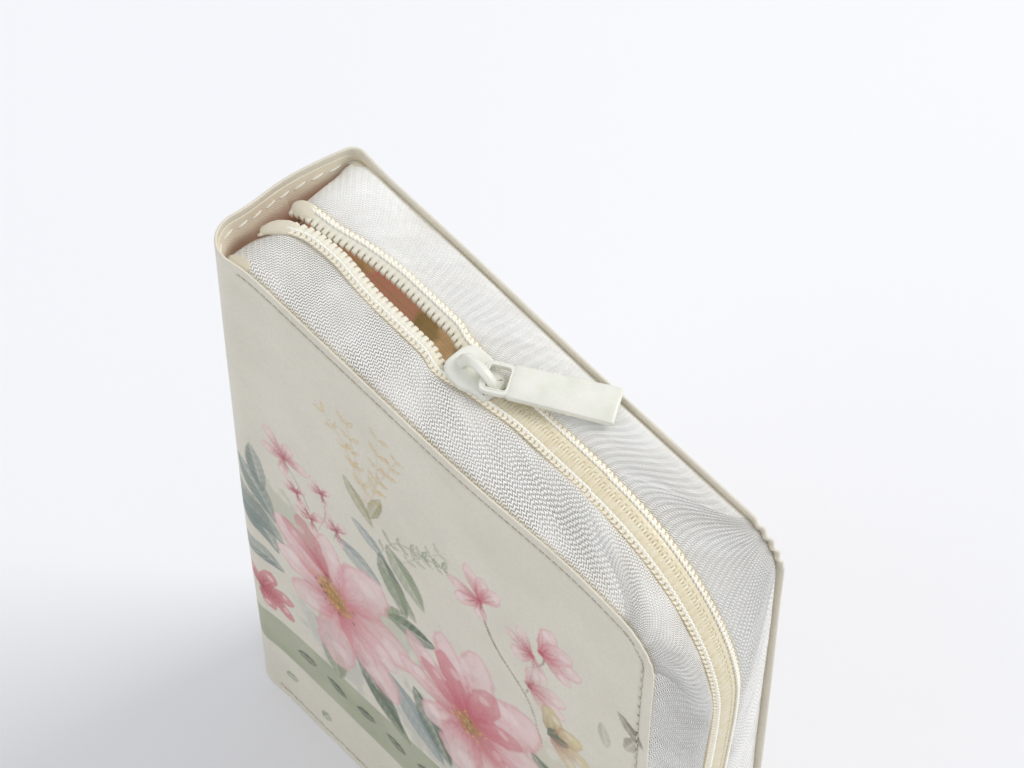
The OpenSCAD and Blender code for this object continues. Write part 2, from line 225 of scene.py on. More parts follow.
def slab(point_at, rows, cols, layers, closed=True, far_cap=True):
    """Points and faces of a sheet. Each layer is (depth, inset). The first is a full face, and so is the
    last if far_cap. point_at(depth, inset) gives the points at that depth, with their outline set in."""
    loop = border(rows, cols, closed)
    near = point_at(*layers[0]).reshape(-1, 3)
    verts, faces = [near], grid_faces(rows, cols)
    count, last = len(near), loop
    for number, layer in enumerate(layers[1:], 1):
        grid = point_at(*layer).reshape(-1, 3)
        full = far_cap and number == len(layers) - 1
        verts.append(grid if full else grid[loop])
        ids = count + (loop if full else np.arange(len(loop)))
        ring = list(range(len(loop))) + ([0] if closed else [])
        faces += [[last[a], last[b], ids[b], ids[a]] for a, b in zip(ring, ring[1:])]
        if full:
            faces += grid_faces(rows, cols, count)
        count += len(verts[-1])
        last = ids
    return np.concatenate(verts), faces


def rounded_rows(z0, z1, r, step):
    """Heights of the rows of a sheet with rounded corners: close together in the corners, even between."""
    turn = max(4, int(round(r * 1.6 / step)))
    low = [z0 + r - r * math.cos(math.pi / 2 * k / turn) for k in range(turn)]
    middle = np.linspace(z0 + r, z1 - r, max(2, int(round((z1 - z0 - 2 * r) / step)) + 1))
    return np.concatenate([low, middle, [z0 + z1 - z for z in reversed(low)]])


def sheet_grid(us, zs, z0, z1, r, inset, squeeze_from):
    """U and Z of a sheet's grid, with its head, fore-edge and tail set in. Columns past squeeze_from follow
    the round corners."""
    full = us[-1] - inset
    rr = max(r - inset, 0.01)
    z = mix(z0 + inset, z1 - inset, (zs - z0) / (z1 - z0))
    dz = np.maximum(0, np.maximum(z0 + inset + rr - z, z - (z1 - inset - rr)))
    right = full - rr + np.sqrt(np.maximum(rr * rr - dz * dz, 0))
    t = np.clip((us - squeeze_from) / (us[-1] - squeeze_from), 0, 1)
    base = np.minimum(us, squeeze_from)
    u = base[None, :] + t[None, :] * (right[:, None] - squeeze_from)
    return u, np.repeat(z[:, None], len(us), axis=1)


# ---------------------------------------------------------------- material helpers

def srgb(r, g, b):
    """Linear colour from 0-255 display values."""
    c = np.array([r, g, b], float) / 255
    return np.where(c <= 0.04045, c / 12.92, ((c + 0.055) / 1.055) ** 2.4)


class Shader:
    """A material's nodes, with short ways to add and join them."""

    def __init__(self, name, roughness, specular=0.4, **sockets):
        self.material = bpy.data.materials.new(name)
        self.material.use_nodes = True
        self.tree = self.material.node_tree
        self.tree.nodes.clear()
        out = self.tree.nodes.new("ShaderNodeOutputMaterial")
        self.bsdf = self.tree.nodes.new("ShaderNodeBsdfPrincipled")
        self.tree.links.new(self.bsdf.outputs[0], out.inputs[0])
        self.bsdf.inputs["Roughness"].default_value = roughness
        self.bsdf.inputs["Specular IOR Level"].default_value = specular
        for key, value in sockets.items():
            self.bsdf.inputs[key.replace("_", " ")].default_value = value

    def add(self, kind, output=0, props=None, **inputs):
        node = self.tree.nodes.new("ShaderNode" + kind)
        for key, value in (props or {}).items():
            setattr(node, key, value)
        for key, value in inputs.items():
            number = key[1:]
            socket = node.inputs[int(number)] if key[0] == "i" and number.isdigit() else node.inputs[key]
            self.put(value, socket)
        return node.outputs[output]

    def put(self, value, socket):
        if isinstance(value, bpy.types.NodeSocket):
            self.tree.links.new(value, socket)
        elif hasattr(value, "__len__") and len(value) == 3 and socket.type == "RGBA":
            socket.default_value = (*value, 1)
        else:
            socket.default_value = value

    def math(self, operation, a, b=0.0):
        return self.add("Math", props={"operation": operation}, i0=a, i1=b)

    def plus(self, a, b):
        return self.math("ADD", a, b)

    def times(self, a, b):
        return self.math("MULTIPLY", a, b)

    def wave(self, value, pitch):
        """A sine wave along value."""
        return self.math("SINE", self.times(value, TAU / pitch))

    def axes(self, place):
        """X, Y and Z of a place."""
        node = self.tree.nodes.new("ShaderNodeSeparateXYZ")
        self.put(place, node.inputs[0])
        return node.outputs

    def blend(self, share, a, b):
        """Colour b over colour a, by share."""
        return self.add("Mix", 2, {"data_type": "RGBA"}, i0=share, i6=a, i7=b)

    def shift(self, value, a, b, low, high, share=1.0):
        """From colour low to colour high as value goes from a to b, up to a share."""
        return self.blend(self.range(value, a, b, 0.0, share), low, high)

    def place(self, coords="rest"):
        """Rest position in millimetres: from the mesh's own record, or a CAD node's object space."""
        if coords == "rest":
            return self.add("Attribute", 1, {"attribute_name": "rest_mm"})
        space = self.add("TexCoord", 3)
        return self.add("VectorMath", props={"operation": "SCALE"}, i0=space, i3=1000.0)

    def noise(self, place, scale, detail=3.0, rough=0.55):
        return self.add("TexNoise", 0, i0=place, Scale=scale, Detail=detail, Roughness=rough)

    def bands(self, place, way, scale, uneven, detail):
        return self.add("TexWave", 1, {"bands_direction": way}, i0=place, Scale=scale, Distortion=uneven,
                        Detail=detail)

    def range(self, value, a, b, lo=0.0, hi=1.0):
        return self.add("MapRange", i0=value, i1=a, i2=b, i3=lo, i4=hi)

    def color(self, value):
        self.put(value, self.bsdf.inputs["Base Color"])

    def glow(self, color, strength):
        self.put(color, self.bsdf.inputs["Emission Color"])
        self.put(strength, self.bsdf.inputs["Emission Strength"])

    def rough(self, value):
        self.put(value, self.bsdf.inputs["Roughness"])

    def bump(self, height, distance_mm, strength=1.0, under=None):
        """Adds a bump of that depth in millimetres. under is a coarser bump below it."""
        inputs = {"Height": height, "Distance": distance_mm * MM, "Strength": strength}
        if under is not None:
            inputs["Normal"] = under
        normal = self.add("Bump", **inputs)
        self.put(normal, self.bsdf.inputs["Normal"])
        return normal


def dress(obj, material):
    obj.data.materials.clear()
    obj.data.materials.append(material)
    return obj


def finish_piece(obj, material, body, replaces=()):
    """Dresses a piece, parents it to its body's empty if it has a body, and hides the CAD nodes that it
    replaces.
    """
    dress(obj, material)
    if body:
        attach(obj, body)
    if replaces:
        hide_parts(*replaces)
    return obj


# ---------------------------------------------------------------- the cover shell

FRONT_CENTRE = np.array([CORNER_X[FRONT], -HALF_T + CORNER_R[FRONT]])
BACK_CENTRE = np.array([CORNER_X[BACK], HALF_T - CORNER_R[BACK]])
ACROSS = BACK_CENTRE - FRONT_CENTRE
SPINE_ANGLE = math.atan2(ACROSS[1], ACROSS[0]) + math.acos(
    (CORNER_R[FRONT] - CORNER_R[BACK]) / np.linalg.norm(ACROSS))
SPINE_NORMAL = np.array([math.cos(SPINE_ANGLE), math.sin(SPINE_ANGLE)])
SPINE_END = {FRONT: FRONT_CENTRE + CORNER_R[FRONT] * SPINE_NORMAL,
             BACK: BACK_CENTRE + CORNER_R[BACK] * SPINE_NORMAL}
SPINE_HALF = np.linalg.norm(SPINE_END[BACK] - SPINE_END[FRONT]) / 2
TURN_ANGLE = {FRONT: 1.5 * math.pi - SPINE_ANGLE, BACK: SPINE_ANGLE - 0.5 * math.pi}
SPINE_LEN = {side: SPINE_HALF + CORNER_R[side] * TURN_ANGLE[side] for side in (FRONT, BACK)}
SPINE_CROWN = 2.7


def bow(side, x, z):
    """How far the flat of a cover stands out of its plane. The closed zip draws the front cover in
    near its free corners, and the back cover springs outward beside the spine."""
    if side == FRONT:
        return -1.7 * gauss(x - 46, 26) * (gauss(z - HEIGHT, 26) + gauss(z, 26))
    return (0.8 * (1 - ease((x + 45) / 62)) + 0.7 * gauss(x + 74, 9)) * (0.35 + 0.65 * ease(z / 120))


def corner_flare(past, z):
    """The soft front corner of the spine bulges, most of all at the head."""
    return (1.0 + 1.3 * ease(z / 110) - 0.1 * ease((z - 165) / 45)) * gauss(past - 7.4, 8.0)


def shell_point(side, u, z, depth):
    """A point of the cover. u is X on the flat cover, and runs on round the spine's corner to mid-spine."""
    u, z = np.broadcast_arrays(np.asarray(u, float), np.asarray(z, float))
    r, xc, turn = CORNER_R[side], CORNER_X[side], TURN_ANGLE[side]
    past = xc - u
    angle = side * (math.pi / 2 + np.clip(past / r, 0, turn))
    n = np.stack([np.cos(angle), np.sin(angle)])
    centre = FRONT_CENTRE if side == FRONT else BACK_CENTRE
    x = np.where(past < 0, u, centre[0] + r * n[0])
    y = np.where(past < 0, side * HALF_T, centre[1] + r * n[1])
    n = np.where(past < 0, np.array([0, side]).reshape(2, *([1] * u.ndim)), n)
    inward = (SPINE_END[-side] - SPINE_END[side]) / (2 * SPINE_HALF)
    rest = np.maximum(past - r * turn, 0)
    x, y = x + inward[0] * rest, y + inward[1] * rest
    t = np.clip((SPINE_LEN[side] - past) / (SPINE_HALF + 6), 0, 1)
    out = SPINE_CROWN * (1 - t * t) ** 2 - depth
    if side == FRONT:
        out = out + corner_flare(past, z)
    held = 1 - ease(rest / (SPINE_HALF - 1))
    return np.stack([x + n[0] * out, y + n[1] * out + side * bow(side, x, z) * held, z], axis=-1)


def even_steps(a, b, step):
    return np.linspace(a, b, max(2, int(round((b - a) / step)) + 1))


def padding(side, u):
    """The back cover is more thickly padded than the front and the spine, by this factor."""
    return 1.0 if side == FRONT else 1.15 - 0.15 * ease((CORNER_X[BACK] - u) / 9)


def shell(side, inset, depths, step_u, step_z, r=COVER_R, u_from=None, wobble=None, far_cap=True):
    """A layer of the cover and half the spine: its points, faces, and the U and Z of each point.
    depths lists (depth, extra inset) from the outer face to the inner."""
    u0 = CORNER_X[side] - SPINE_LEN[side] if u_from is None else u_from
    us = even_steps(u0, X_EDGE - inset, step_u)
    zs = rounded_rows(inset, HEIGHT - inset, r, step_z)
    squeeze = X_EDGE - 45

    def point_at(depth, more):
        u, z = sheet_grid(us, zs, inset, HEIGHT - inset, r, more, squeeze)
        d = depth * padding(side, u)
        if wobble is not None:
            d = d + wobble(u, z)
        return shell_point(side, u, z, d)

    verts, faces = slab(point_at, len(zs), len(us), depths, closed=u_from is not None, far_cap=far_cap)
    u, z = sheet_grid(us, zs, inset, HEIGHT - inset, r, 0, squeeze)
    return verts, faces, u.ravel(), z.ravel()


def bend_at(obj):
    """Bakes the piece's transform into its mesh."""
    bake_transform(obj)


# ---------------------------------------------------------------- the printed pattern

IVORY = srgb(224, 219, 204)
PINK = srgb(214, 130, 138)
ROSE = srgb(196, 84, 100)
PALE_PINK = srgb(240, 214, 212)
WHITE_PINK = srgb(246, 228, 224)
DEEP_ROSE = srgb(150, 48, 66)
OCHRE = srgb(214, 178, 96)
OCHRE_DEEP = srgb(176, 126, 48)
PALE_YELLOW = srgb(222, 206, 140)
BROWN = srgb(108, 76, 52)
SAGE = srgb(138, 152, 118)
SAGE_DEEP = srgb(86, 108, 84)
BLUE_GREY = srgb(142, 156, 156)
OLIVE = srgb(150, 146, 88)
DRY_LEAF = srgb(150, 142, 122)
BAND = srgb(150, 160, 126)
BAND_INK = srgb(60, 78, 62)
EVERYWHERE = slice(None)


def smooth_line(points, per=14):
    """Catmull-Rom through the points."""
    p = [np.array(q, float) for q in points]
    p = [2 * p[0] - p[1], *p, 2 * p[-1] - p[-2]]
    out = []
    for a, b, c, d in zip(p, p[1:], p[2:], p[3:]):
        for t in np.arange(per) / per:
            curve = (2 * a - 5 * b + 4 * c - d) * t**2 + (3 * b - a - 3 * c + d) * t**3
            out.append(0.5 * (2 * b + (c - a) * t + curve))
    return [*out, p[-2]]


def polar(angle, reach):
    """The step along X and Z at an angle in degrees."""
    return reach * math.cos(math.radians(angle)), reach * math.sin(math.radians(angle))


class Print:
    """Soft washes and strokes of colour, laid one over another on the points of a cover."""

    def __init__(self, u, z, seed, draws):
        self.u, self.z = u, z
        self.rgb = np.repeat(IVORY[None, :], len(u), axis=0)
        self.edge = 0.7 * (cloud(u, z, 3.2, seed, 4) - 0.5)
        self.wash = cloud(u, z, 9.0, seed + 9, 4)
        self.fine = cloud(u, z, 1.1, seed + 17, 2) - 0.5
        self.rng = np.random.default_rng(draws)

    def lay(self, where, share, color):
        self.rgb[where] = mix(self.rgb[where], color, np.clip(share, 0, 1)[:, None])

    def near(self, x, z, reach):
        return np.where((abs(self.u - x) < reach) & (abs(self.z - z) < reach))[0]

    def along(self, x, z, angle, length, width, reach):
        """The points near a mark, and their places along and across it in its own lengths and widths."""
        w = self.near(x, z, length * reach)
        dx, dz = self.u[w] - x, self.z[w] - z
        c, s = polar(angle, 1.0)
        return w, (dx * c + dz * s) / length, (dz * c - dx * s) / width

    def petal(self, x, z, angle, length, width, color, tip, strength=0.85, ragged=0.35, veins=0.25):
        """A rounded petal from a centre outward, darker at its root, with a wet rim and fine veins."""
        w, a, b = self.along(x, z, angle, length, width, 1.25)
        shape = np.sqrt(np.clip(a, 0, 1)) * np.clip(1.05 - a**3, 0, 1) ** 0.6
        reach = shape - abs(b) * 2 + self.edge[w] * ragged
        reach = np.where((a < -0.02) | (a > 1.08), -1, reach)
        body = ease(reach / 0.14)
        rim = gauss(reach - 0.1, 0.07) * (reach > 0.01)
        streak = 0.5 + 0.5 * np.sin(np.arctan2(b * width, (a + 0.15) * length) * 26 + self.edge[w] * 9)
        pale = mix(color, tip, ease(a * 1.15)[:, None])
        self.lay(w, strength * (0.85 + 0.5 * (self.wash[w] - 0.5)) * body, pale)
        vein = veins * streak**3 * body * np.clip(1.1 - a, 0, 1)
        self.lay(w, strength * (0.34 * rim + vein), mix(color, ROSE, 0.35))

    def leaf(self, x, z, angle, length, width, color, strength=0.7):
        """A pointed leaf with a pale midrib, one half darker than the other."""
        w, a, b = self.along(x, z, angle, length, width, 1.2)
        shape = np.sin(math.pi * np.clip(a, 0, 1)) ** 0.75
        reach = np.where((a < 0) | (a > 1), -1, shape - abs(b) * 2 + self.edge[w] * 0.25)
        half = 0.75 + 0.35 * (b > 0)
        rib = 1 - 0.55 * gauss(b * width, 0.3) * (a > 0.05)
        side_veins = 0.9 + 0.12 * np.sin((a * length - abs(b) * width * 0.9) * 2.2)
        body = ease(reach / 0.2) * half * rib * side_veins
        self.lay(w, strength * body * (0.75 + 0.6 * self.wash[w]), color)
        self.lay(w, 0.4 * strength * gauss(reach - 0.1, 0.08) * (reach > 0), 0.6 * color)

    def leaves(self, strength, *rows):
        """Several leaves, each (x, z, angle, length, width, colour)."""
        for row in rows:
            self.leaf(*row, strength)

    def stroke(self, points, width, color, strength=0.7):
        """A thin line through a few points, smoothed, swelling a little in its middle."""
        line = smooth_line(points)
        for k, (x, z) in enumerate(line):
            r = width * (0.6 + 0.6 * math.sin(math.pi * k / (len(line) - 1)))
            w = self.near(x, z, r * 2.2)
            d = np.hypot(self.u[w] - x, self.z[w] - z)
            self.lay(w, strength * 0.6 * ease((r * 1.5 - d) / (r * 0.7) + self.fine[w] * 0.5), color)

    def spot(self, x, z, r, color, strength=0.8, ragged=0.6):
        w = self.near(x, z, r * 1.8)
        d = np.hypot(self.u[w] - x, self.z[w] - z) / r
        self.lay(w, strength * ease((1 - d + self.edge[w] * ragged) / 0.4), color)

    def washes(self, *rows):
        """Soft ragged spots, each (x, z, radius, colour, strength)."""
        for row in rows:
            self.spot(*row, 1.6)

    def blossom(self, x, z, r, turn, petals, strength=0.85):
        """An open flower: two rings of petals."""
        for share, lift, weight in ((1.0, 0.0, 0.95), (0.66, 0.5, 0.75)):
            for k in range(petals):
                a = turn + (k + lift) * 360 / petals + self.rng.uniform(-9, 9)
                long = r * share * self.rng.uniform(0.86, 1.1)
                wide = long * self.rng.uniform(0.62, 0.8)
                self.petal(x, z, a, long, wide, PINK, PALE_PINK, strength * weight)

    def stamens(self, x, z, r):
        """A heart of fine threads with pollen at their ends."""
        self.spot(x, z, r * 0.75, OCHRE_DEEP, 0.55)
        for k in range(40):
            a, d = self.rng.uniform(0, TAU), self.rng.uniform(0.2, 1.0) * r
            px, pz = x + d * math.cos(a), z + d * math.sin(a) * 0.8
            self.stroke([(x, z), (px, pz)], 0.22, OCHRE_DEEP, 0.45)
            pollen = (OCHRE, OCHRE_DEEP, OCHRE, BROWN)[k % 4]
            self.spot(px, pz, self.rng.uniform(0.4, 0.75), pollen, 0.95, 0.2)

    def sprig(self, points, color, leaves, size, strength=0.6):
        """A stem with pairs of small leaves along it."""
        self.stroke(points, 0.32, mix(color, BROWN, 0.25), strength)
        line = smooth_line(points)
        for k in range(leaves):
            i = int((k + 0.8) / (leaves + 0.3) * (len(line) - 2))
            x, z = line[i]
            way = math.degrees(math.atan2(line[i + 1][1] - z, line[i + 1][0] - x))
            for lean in (48, -48):
                long = size * self.rng.uniform(0.7, 1.1)
                angle = way + lean + self.rng.uniform(-12, 12)
                self.leaf(x, z, angle, long, long * 0.38, color, strength)

    def flower(self, x, z, sprays, root=PINK, tip=PALE_PINK, heart=0.0):
        """A flower drawn petal by petal. sprays lists (angle, length, width, strength), the last on top."""
        rng = self.rng
        for angle, long, wide, strength in sprays:
            shade = mix(root, ROSE, rng.uniform(0.1, 0.75))
            pale = mix(tip, root, rng.uniform(0, 0.22))
            self.petal(x, z, angle, long, wide, shade, pale, strength, 0.4, 0.4)
            inner = angle + rng.uniform(-6, 6)
            self.petal(x, z, inner, long * 0.62, wide * 0.5, shade, tip, 0.4 * strength, 0.4, 0.5)
            # deep veins from the root, and a pale fold towards the tip
            spread = math.degrees(math.atan2(0.32 * wide, long))
            for lean in (-spread, 0.0, spread):
                way, reach = angle + lean + rng.uniform(-4, 4), long * rng.uniform(0.45, 0.8)
                bend = rng.uniform(-0.06, 0.06) * long
                (dx, dz), (bx, bz) = polar(way, reach), polar(way + 90, bend)
                vein = [(x, z), (x + 0.5 * dx + bx, z + 0.5 * dz + bz), (x + dx, z + dz)]
                self.stroke(vein, 0.2, DEEP_ROSE, 0.42 * strength)
            dx, dz = polar(angle + rng.uniform(-10, 10), 0.72 * long)
            self.spot(x + dx, z + dz, 0.16 * wide, WHITE_PINK, 0.5 * strength, 1.2)
        self.spot(x, z, 0.07 * max(spray[1] for spray in sprays) + 0.5, DEEP_ROSE, 0.55, 1.0)
        if heart:
            self.stamens(x, z, heart)

    def sage_band(self, rise):
        """The plain band near the tail, right round the spine. Its upper edge climbs by rise."""
        past = np.maximum(self.u - X_SPINE, 0)
        inside = np.minimum(self.z - 26 - 0.02 * past, 43 + rise * past - self.z)
        self.lay(EVERYWHERE, 0.9 * ease(inside / 0.6 + 0.4) * (0.8 + 0.35 * (self.wash - 0.5)), BAND)

    def band_leaves(self, places):
        """A row of single leaves along the band, tipped up and down by turns."""
        for k, x in enumerate(places):
            mid, lean = 35 + 0.06 * (x - X_SPINE), (16, -12)[k % 2]
            self.leaf(x - 4, mid - 0.05 * lean, lean, 8.5, 4.6, BAND_INK, 0.8)


def paint_front(u, z):
    p = Print(u, z, 5, 71)
    haze = cloud(u, z, 34, 41, 3)
    around = gauss(u + 18, 62) * gauss(z - 96, 66)
    p.lay(EVERYWHERE, 0.35 * around * ease((haze - 0.42) / 0.3), srgb(222, 214, 200))
    # washes of leaf green and rose behind the flowers
    p.washes((-56, 108, 15, SAGE, 0.3), (-20, 104, 15, SAGE, 0.3), (22, 108, 16, PALE_PINK, 0.4),
             (-42, 60, 16, BLUE_GREY, 0.3), (46, 112, 15, OLIVE, 0.2), (-4, 66, 18, BLUE_GREY, 0.3))
    # ochre sprigs at the top, and the small leaves that they spring from
    p.sprig([(-22, 154), (-27, 168), (-33, 180), (-42, 187)], OCHRE, 6, 4.5)
    p.sprig([(-24, 162), (-28, 178), (-31, 193)], OCHRE, 5, 4.5)
    p.sprig([(-23, 160), (-20, 178), (-19, 203)], OCHRE, 6, 5)
    p.sprig([(-23, 166), (-17, 182), (-11, 198)], OCHRE, 5, 4.5)
    p.leaf(-33, 163, -52, 17, 6, OLIVE, 0.8)
    p.leaf(-19, 168, -108, 16, 4.5, OLIVE, 0.7)
    # sage sprigs and leaves to the right of them
    p.sprig([(-21, 139), (-14, 153), (-3, 160), (5, 164)], SAGE, 7, 5, 0.8)
    p.sprig([(-12, 146), (-5, 158), (4, 172)], SAGE, 5, 4.5)
    p.leaves(0.8, (-31, 145, -28, 15, 6, BLUE_GREY), (-38, 126, -12, 18, 9, BLUE_GREY),
             (-18, 148, -52, 22, 10, SAGE), (-21, 140, -66, 24, 9, SAGE_DEEP), (-22, 133, -40, 19, 8, SAGE))
    # blue-grey leaves at the spine edge
    shade = mix(BLUE_GREY, SAGE_DEEP, 0.35)
    p.leaves(0.85, (-62, 84, 122, 36, 12, shade), (-59, 92, 148, 24, 10, shade),
             (-62, 100, 116, 26, 8, shade), (-60, 76, 170, 22, 9, shade), (-66, 112, 98, 22, 6, shade))
    # broad leaves under the big blossoms
    p.leaves(0.88, (-33, 72, -52, 30, 11, SAGE_DEEP), (-20, 78, -48, 32, 12, BLUE_GREY),
             (-30, 62, -40, 24, 8, SAGE_DEEP), (-10, 84, -62, 30, 11, SAGE_DEEP),
             (-44, 66, -80, 22, 10, SAGE), (34, 112, -30, 22, 10, SAGE_DEEP), (38, 100, -54, 24, 9, SAGE),
             (28, 76, -70, 24, 9, BLUE_GREY))
    # small flowers and buds at the left
    p.flower(-56, 141, ((128, 11, 7, 0.8), (74, 9, 7, 0.7), (196, 9, 7, 0.8), (20, 10, 7, 0.7),
                        (262, 9, 6, 0.7)))
    p.stroke([(-56, 140), (-50, 132), (-46, 122)], 0.3, BROWN)
    for x, up, r in ((-42, 141, 6), (-37, 129, 7), (-47, 122, 7.5), (-52, 129, 6)):
        wide = r * 0.7
        p.flower(x, up, ((200, r, wide, 0.7), (130, r, wide, 0.75), (60, r, wide, 0.7),
                         (285, r, r * 0.6, 0.7)))
    p.stroke([(-42, 141), (-41, 132), (-45, 118)], 0.28, BROWN, 0.6)
    p.stroke([(-37, 129), (-39, 120)], 0.25, BROWN, 0.6)
    # the red flower at the spine edge, and the sage leaves beside the first big blossom
    p.flower(-70, 57, ((70, 12, 9, 0.95), (20, 13, 9, 0.95), (-25, 13, 9, 0.95), (120, 10, 8, 0.9),
                       (-70, 10, 8, 0.9)), ROSE, PINK)
    p.leaf(-19, 110, 22, 20, 9, SAGE_DEEP, 0.95)
    p.leaf(-20, 108, 54, 15, 6, SAGE, 0.8)
    # the two big blossoms
    p.flower(-39, 89, ((-94, 37, 24, 0.8), (-50, 34, 26, 0.85), (226, 24, 20, 0.85), (12, 30, 28, 0.9),
                       (180, 23, 18, 0.8), (62, 37, 26, 0.9), (96, 31, 18, 0.75), (142, 29, 20, 0.95),
                       (-18, 24, 20, 0.7)), heart=8.0)
    p.flower(-42, 98, ((118, 22, 13, 0.7), (150, 20, 10, 0.6)), ROSE, PINK)
    p.stamens(-41, 93, 7.5)
    p.flower(11, 92, ((-60, 34, 26, 0.85), (-14, 32, 26, 0.85), (228, 24, 20, 0.9), (-100, 30, 24, 0.85),
                      (176, 26, 16, 0.95), (56, 44, 26, 0.85), (84, 44, 22, 0.9), (104, 38, 18, 0.95),
                      (138, 30, 16, 0.9), (20, 34, 24, 0.8)))
    p.flower(11, 95, ((70, 28, 15, 0.75), (112, 26, 14, 0.8), (36, 24, 14, 0.7), (150, 20, 12, 0.7),
                      (-30, 16, 14, 0.6)), ROSE, PINK)
    p.stamens(11, 93, 7.5)
    # a branch of small blossoms to the right
    p.stroke([(38, 122), (33, 138), (22, 149), (17, 159), (15, 166)], 0.42, BROWN, 1.0)
    p.stroke([(32, 139), (34, 150), (35, 164)], 0.32, BROWN, 0.9)
    p.stroke([(34, 156), (38, 164), (38, 170)], 0.26, BROWN, 0.8)
    p.flower(16, 165, ((228, 13, 8, 0.9), (196, 12, 8, 0.85), (112, 13, 8, 0.85), (84, 12, 8, 0.8),
                       (60, 13, 8, 0.85), (270, 9, 7, 0.9)))
    p.flower(34, 163, ((120, 9, 7, 0.75), (170, 9, 7, 0.7), (230, 10, 8, 0.7), (300, 10, 8, 0.6)))
    p.flower(37, 168, ((74, 15, 10, 0.85), (22, 15, 11, 0.85), (48, 15, 11, 0.8), (-14, 11, 8, 0.75)))
    p.flower(33, 146, ((30, 15, 10, 0.7), (0, 13, 9, 0.65), (76, 12, 8, 0.6), (-40, 11, 8, 0.5)))
    for x, up in ((16, 165), (34, 163), (37, 168)):
        p.spot(x, up, 1.4, ROSE, 0.9)
    # yellow-green flower and the dark leaves at the right
    p.flower(41, 131, ((88, 14, 11, 0.8), (46, 15, 11, 0.8), (10, 14, 10, 0.7), (-40, 12, 10, 0.7)),
             OLIVE, PALE_YELLOW)
    p.leaf(40, 130, 30, 9, 4, SAGE_DEEP, 0.95)
    p.leaf(40, 130, 62, 7, 3.5, SAGE_DEEP, 0.9)
    p.leaf(63, 176, -40, 12, 5, srgb(128, 118, 100), 0.85)
    p.leaf(66, 160, 70, 11, 4.5, DRY_LEAF, 0.7)
    p.leaf(60, 152, 100, 11, 4.5, DRY_LEAF, 0.5)
    p.flower(57, 80, ((100, 16, 12, 0.7), (30, 15, 12, 0.7), (170, 15, 12, 0.7), (240, 15, 12, 0.7),
                      (-50, 15, 12, 0.7)))
    # pale lower part: a few leaf marks
    for mark in ((-64, 14, 30), (-49, 9, 60), (-20, 12, 70), (8, 8, 40), (30, 14, 110), (52, 10, 70)):
        p.leaf(*mark, 6, 4, SAGE, 0.75)
    p.sage_band(0.1)
    p.band_leaves(range(-54, 60, 12))
    return p


def paint_back(u, z):
    p = Print(u, z, 25, 72)
    p.washes((40, 70, 24, PALE_PINK, 0.5), (10, 110, 22, SAGE, 0.22), (-30, 80, 22, BLUE_GREY, 0.2))
    p.sprig([(30, 120), (24, 144), (30, 168), (26, 188)], OCHRE, 8, 7, 0.5)
    p.sprig([(-20, 96), (-30, 118), (-28, 140), (-36, 158)], SAGE, 8, 9, 0.5)
    p.sprig([(4, 104), (2, 126), (8, 150)], SAGE, 6, 8, 0.5)
    for x, up, angle, long in ((28, 76, 20, 26), (20, 66, -40, 26), (-8, 74, 150, 26), (-20, 66, 200, 24),
                               (50, 96, 80, 24), (4, 58, -84, 22)):
        p.leaf(x, up, angle, long, long * 0.42, BLUE_GREY if long == 24 else SAGE_DEEP)
    for x, up, r, turn in ((38, 84, 28, 5), (-14, 78, 25, 25)):
        p.blossom(x, up, r, turn, 7)
        p.stamens(x, up, r * 0.27)
    for x, up, r in ((60, 118, 11), (14, 128, 8), (-40, 108, 10), (-46, 70, 9), (66, 140, 7)):
        p.blossom(x, up, r, r * 9, 5, 0.75)
    p.spot(71, 100, 16, ROSE, 0.35, 1.4)
    p.spot(72, 70, 18, PINK, 0.4, 1.4)
    p.sage_band(0.03)
    return p


# ---------------------------------------------------------------- the zip: where it runs

TAPE_Z = box_mm("front_zip_coil")[1][2] - 0.9
CHAIN_R = 44.0
CHAIN_FORE_X = X_FAR - 0.9
COIL_W = 2.6
COIL_GAP = 0.2
END_X = box_mm("front_zip_coil")[0][0]
MOUTH_X = SLIDER_LO[0]
BOW = 2.4
GUSSET_INSET = 1.5
WALL_Y = {FRONT: HALF_T - 0.75, BACK: HALF_T - 0.85}
SPINE_INSIDE = X_SPINE + 3.5
SPAN = 6.0


def u_point(tau, v, d, side):
    """A point of the gusset's U: tau runs 0-1 along the head, 1-2 round the corner, 2-3 down to mid height,
    and back along the tail to 6. v is 0 at the cover and 1 at the coil, and d is how far in it is set."""
    tau, v, d = np.broadcast_arrays(np.asarray(tau, float), v, d)
    up = np.where(tau > 3, SPAN - tau, tau)
    e = ease(v)
    r = mix(COVER_R - GUSSET_INSET, CHAIN_R, e) - d
    x1 = mix(X_EDGE - GUSSET_INSET, CHAIN_FORE_X, e) - d
    z1 = mix(HEIGHT - GUSSET_INSET, TAPE_Z, e) - d
    x0 = mix(CORNER_X[side] - 1.2, SPINE_INSIDE, ease(4 * v))
    a = math.pi / 2 * (1 - np.clip(up - 1, 0, 1))
    t = np.clip(up - 2, 0, 1)
    x = np.where(up < 1, mix(x0, x1 - r, up), x1 - r + r * np.cos(a) - BOW * e * ease(t))
    z = np.where(up < 1, z1, z1 - r + r * np.sin(a))
    z = np.where(up >= 2, mix(z1 - r, HEIGHT / 2, t), z)
    return x, np.where(tau > 3, HEIGHT - z, z)


def mouth_share(x):
    """0 at the slider's mouth and 1 at the spine end of the zip."""
    return np.clip((MOUTH_X - x) / (MOUTH_X - END_X), 0, 1)


def half_gap(x, on_head):
    """Half the gap between the coils: wide in the mouth, almost shut at the spine and past the slider."""
    parted = 2.15 * ease((SLIDER_X + 4 - x) / 11) * (1 - ease((-37 - x) / 25))
    return COIL_GAP + np.where(on_head, parted, 0)


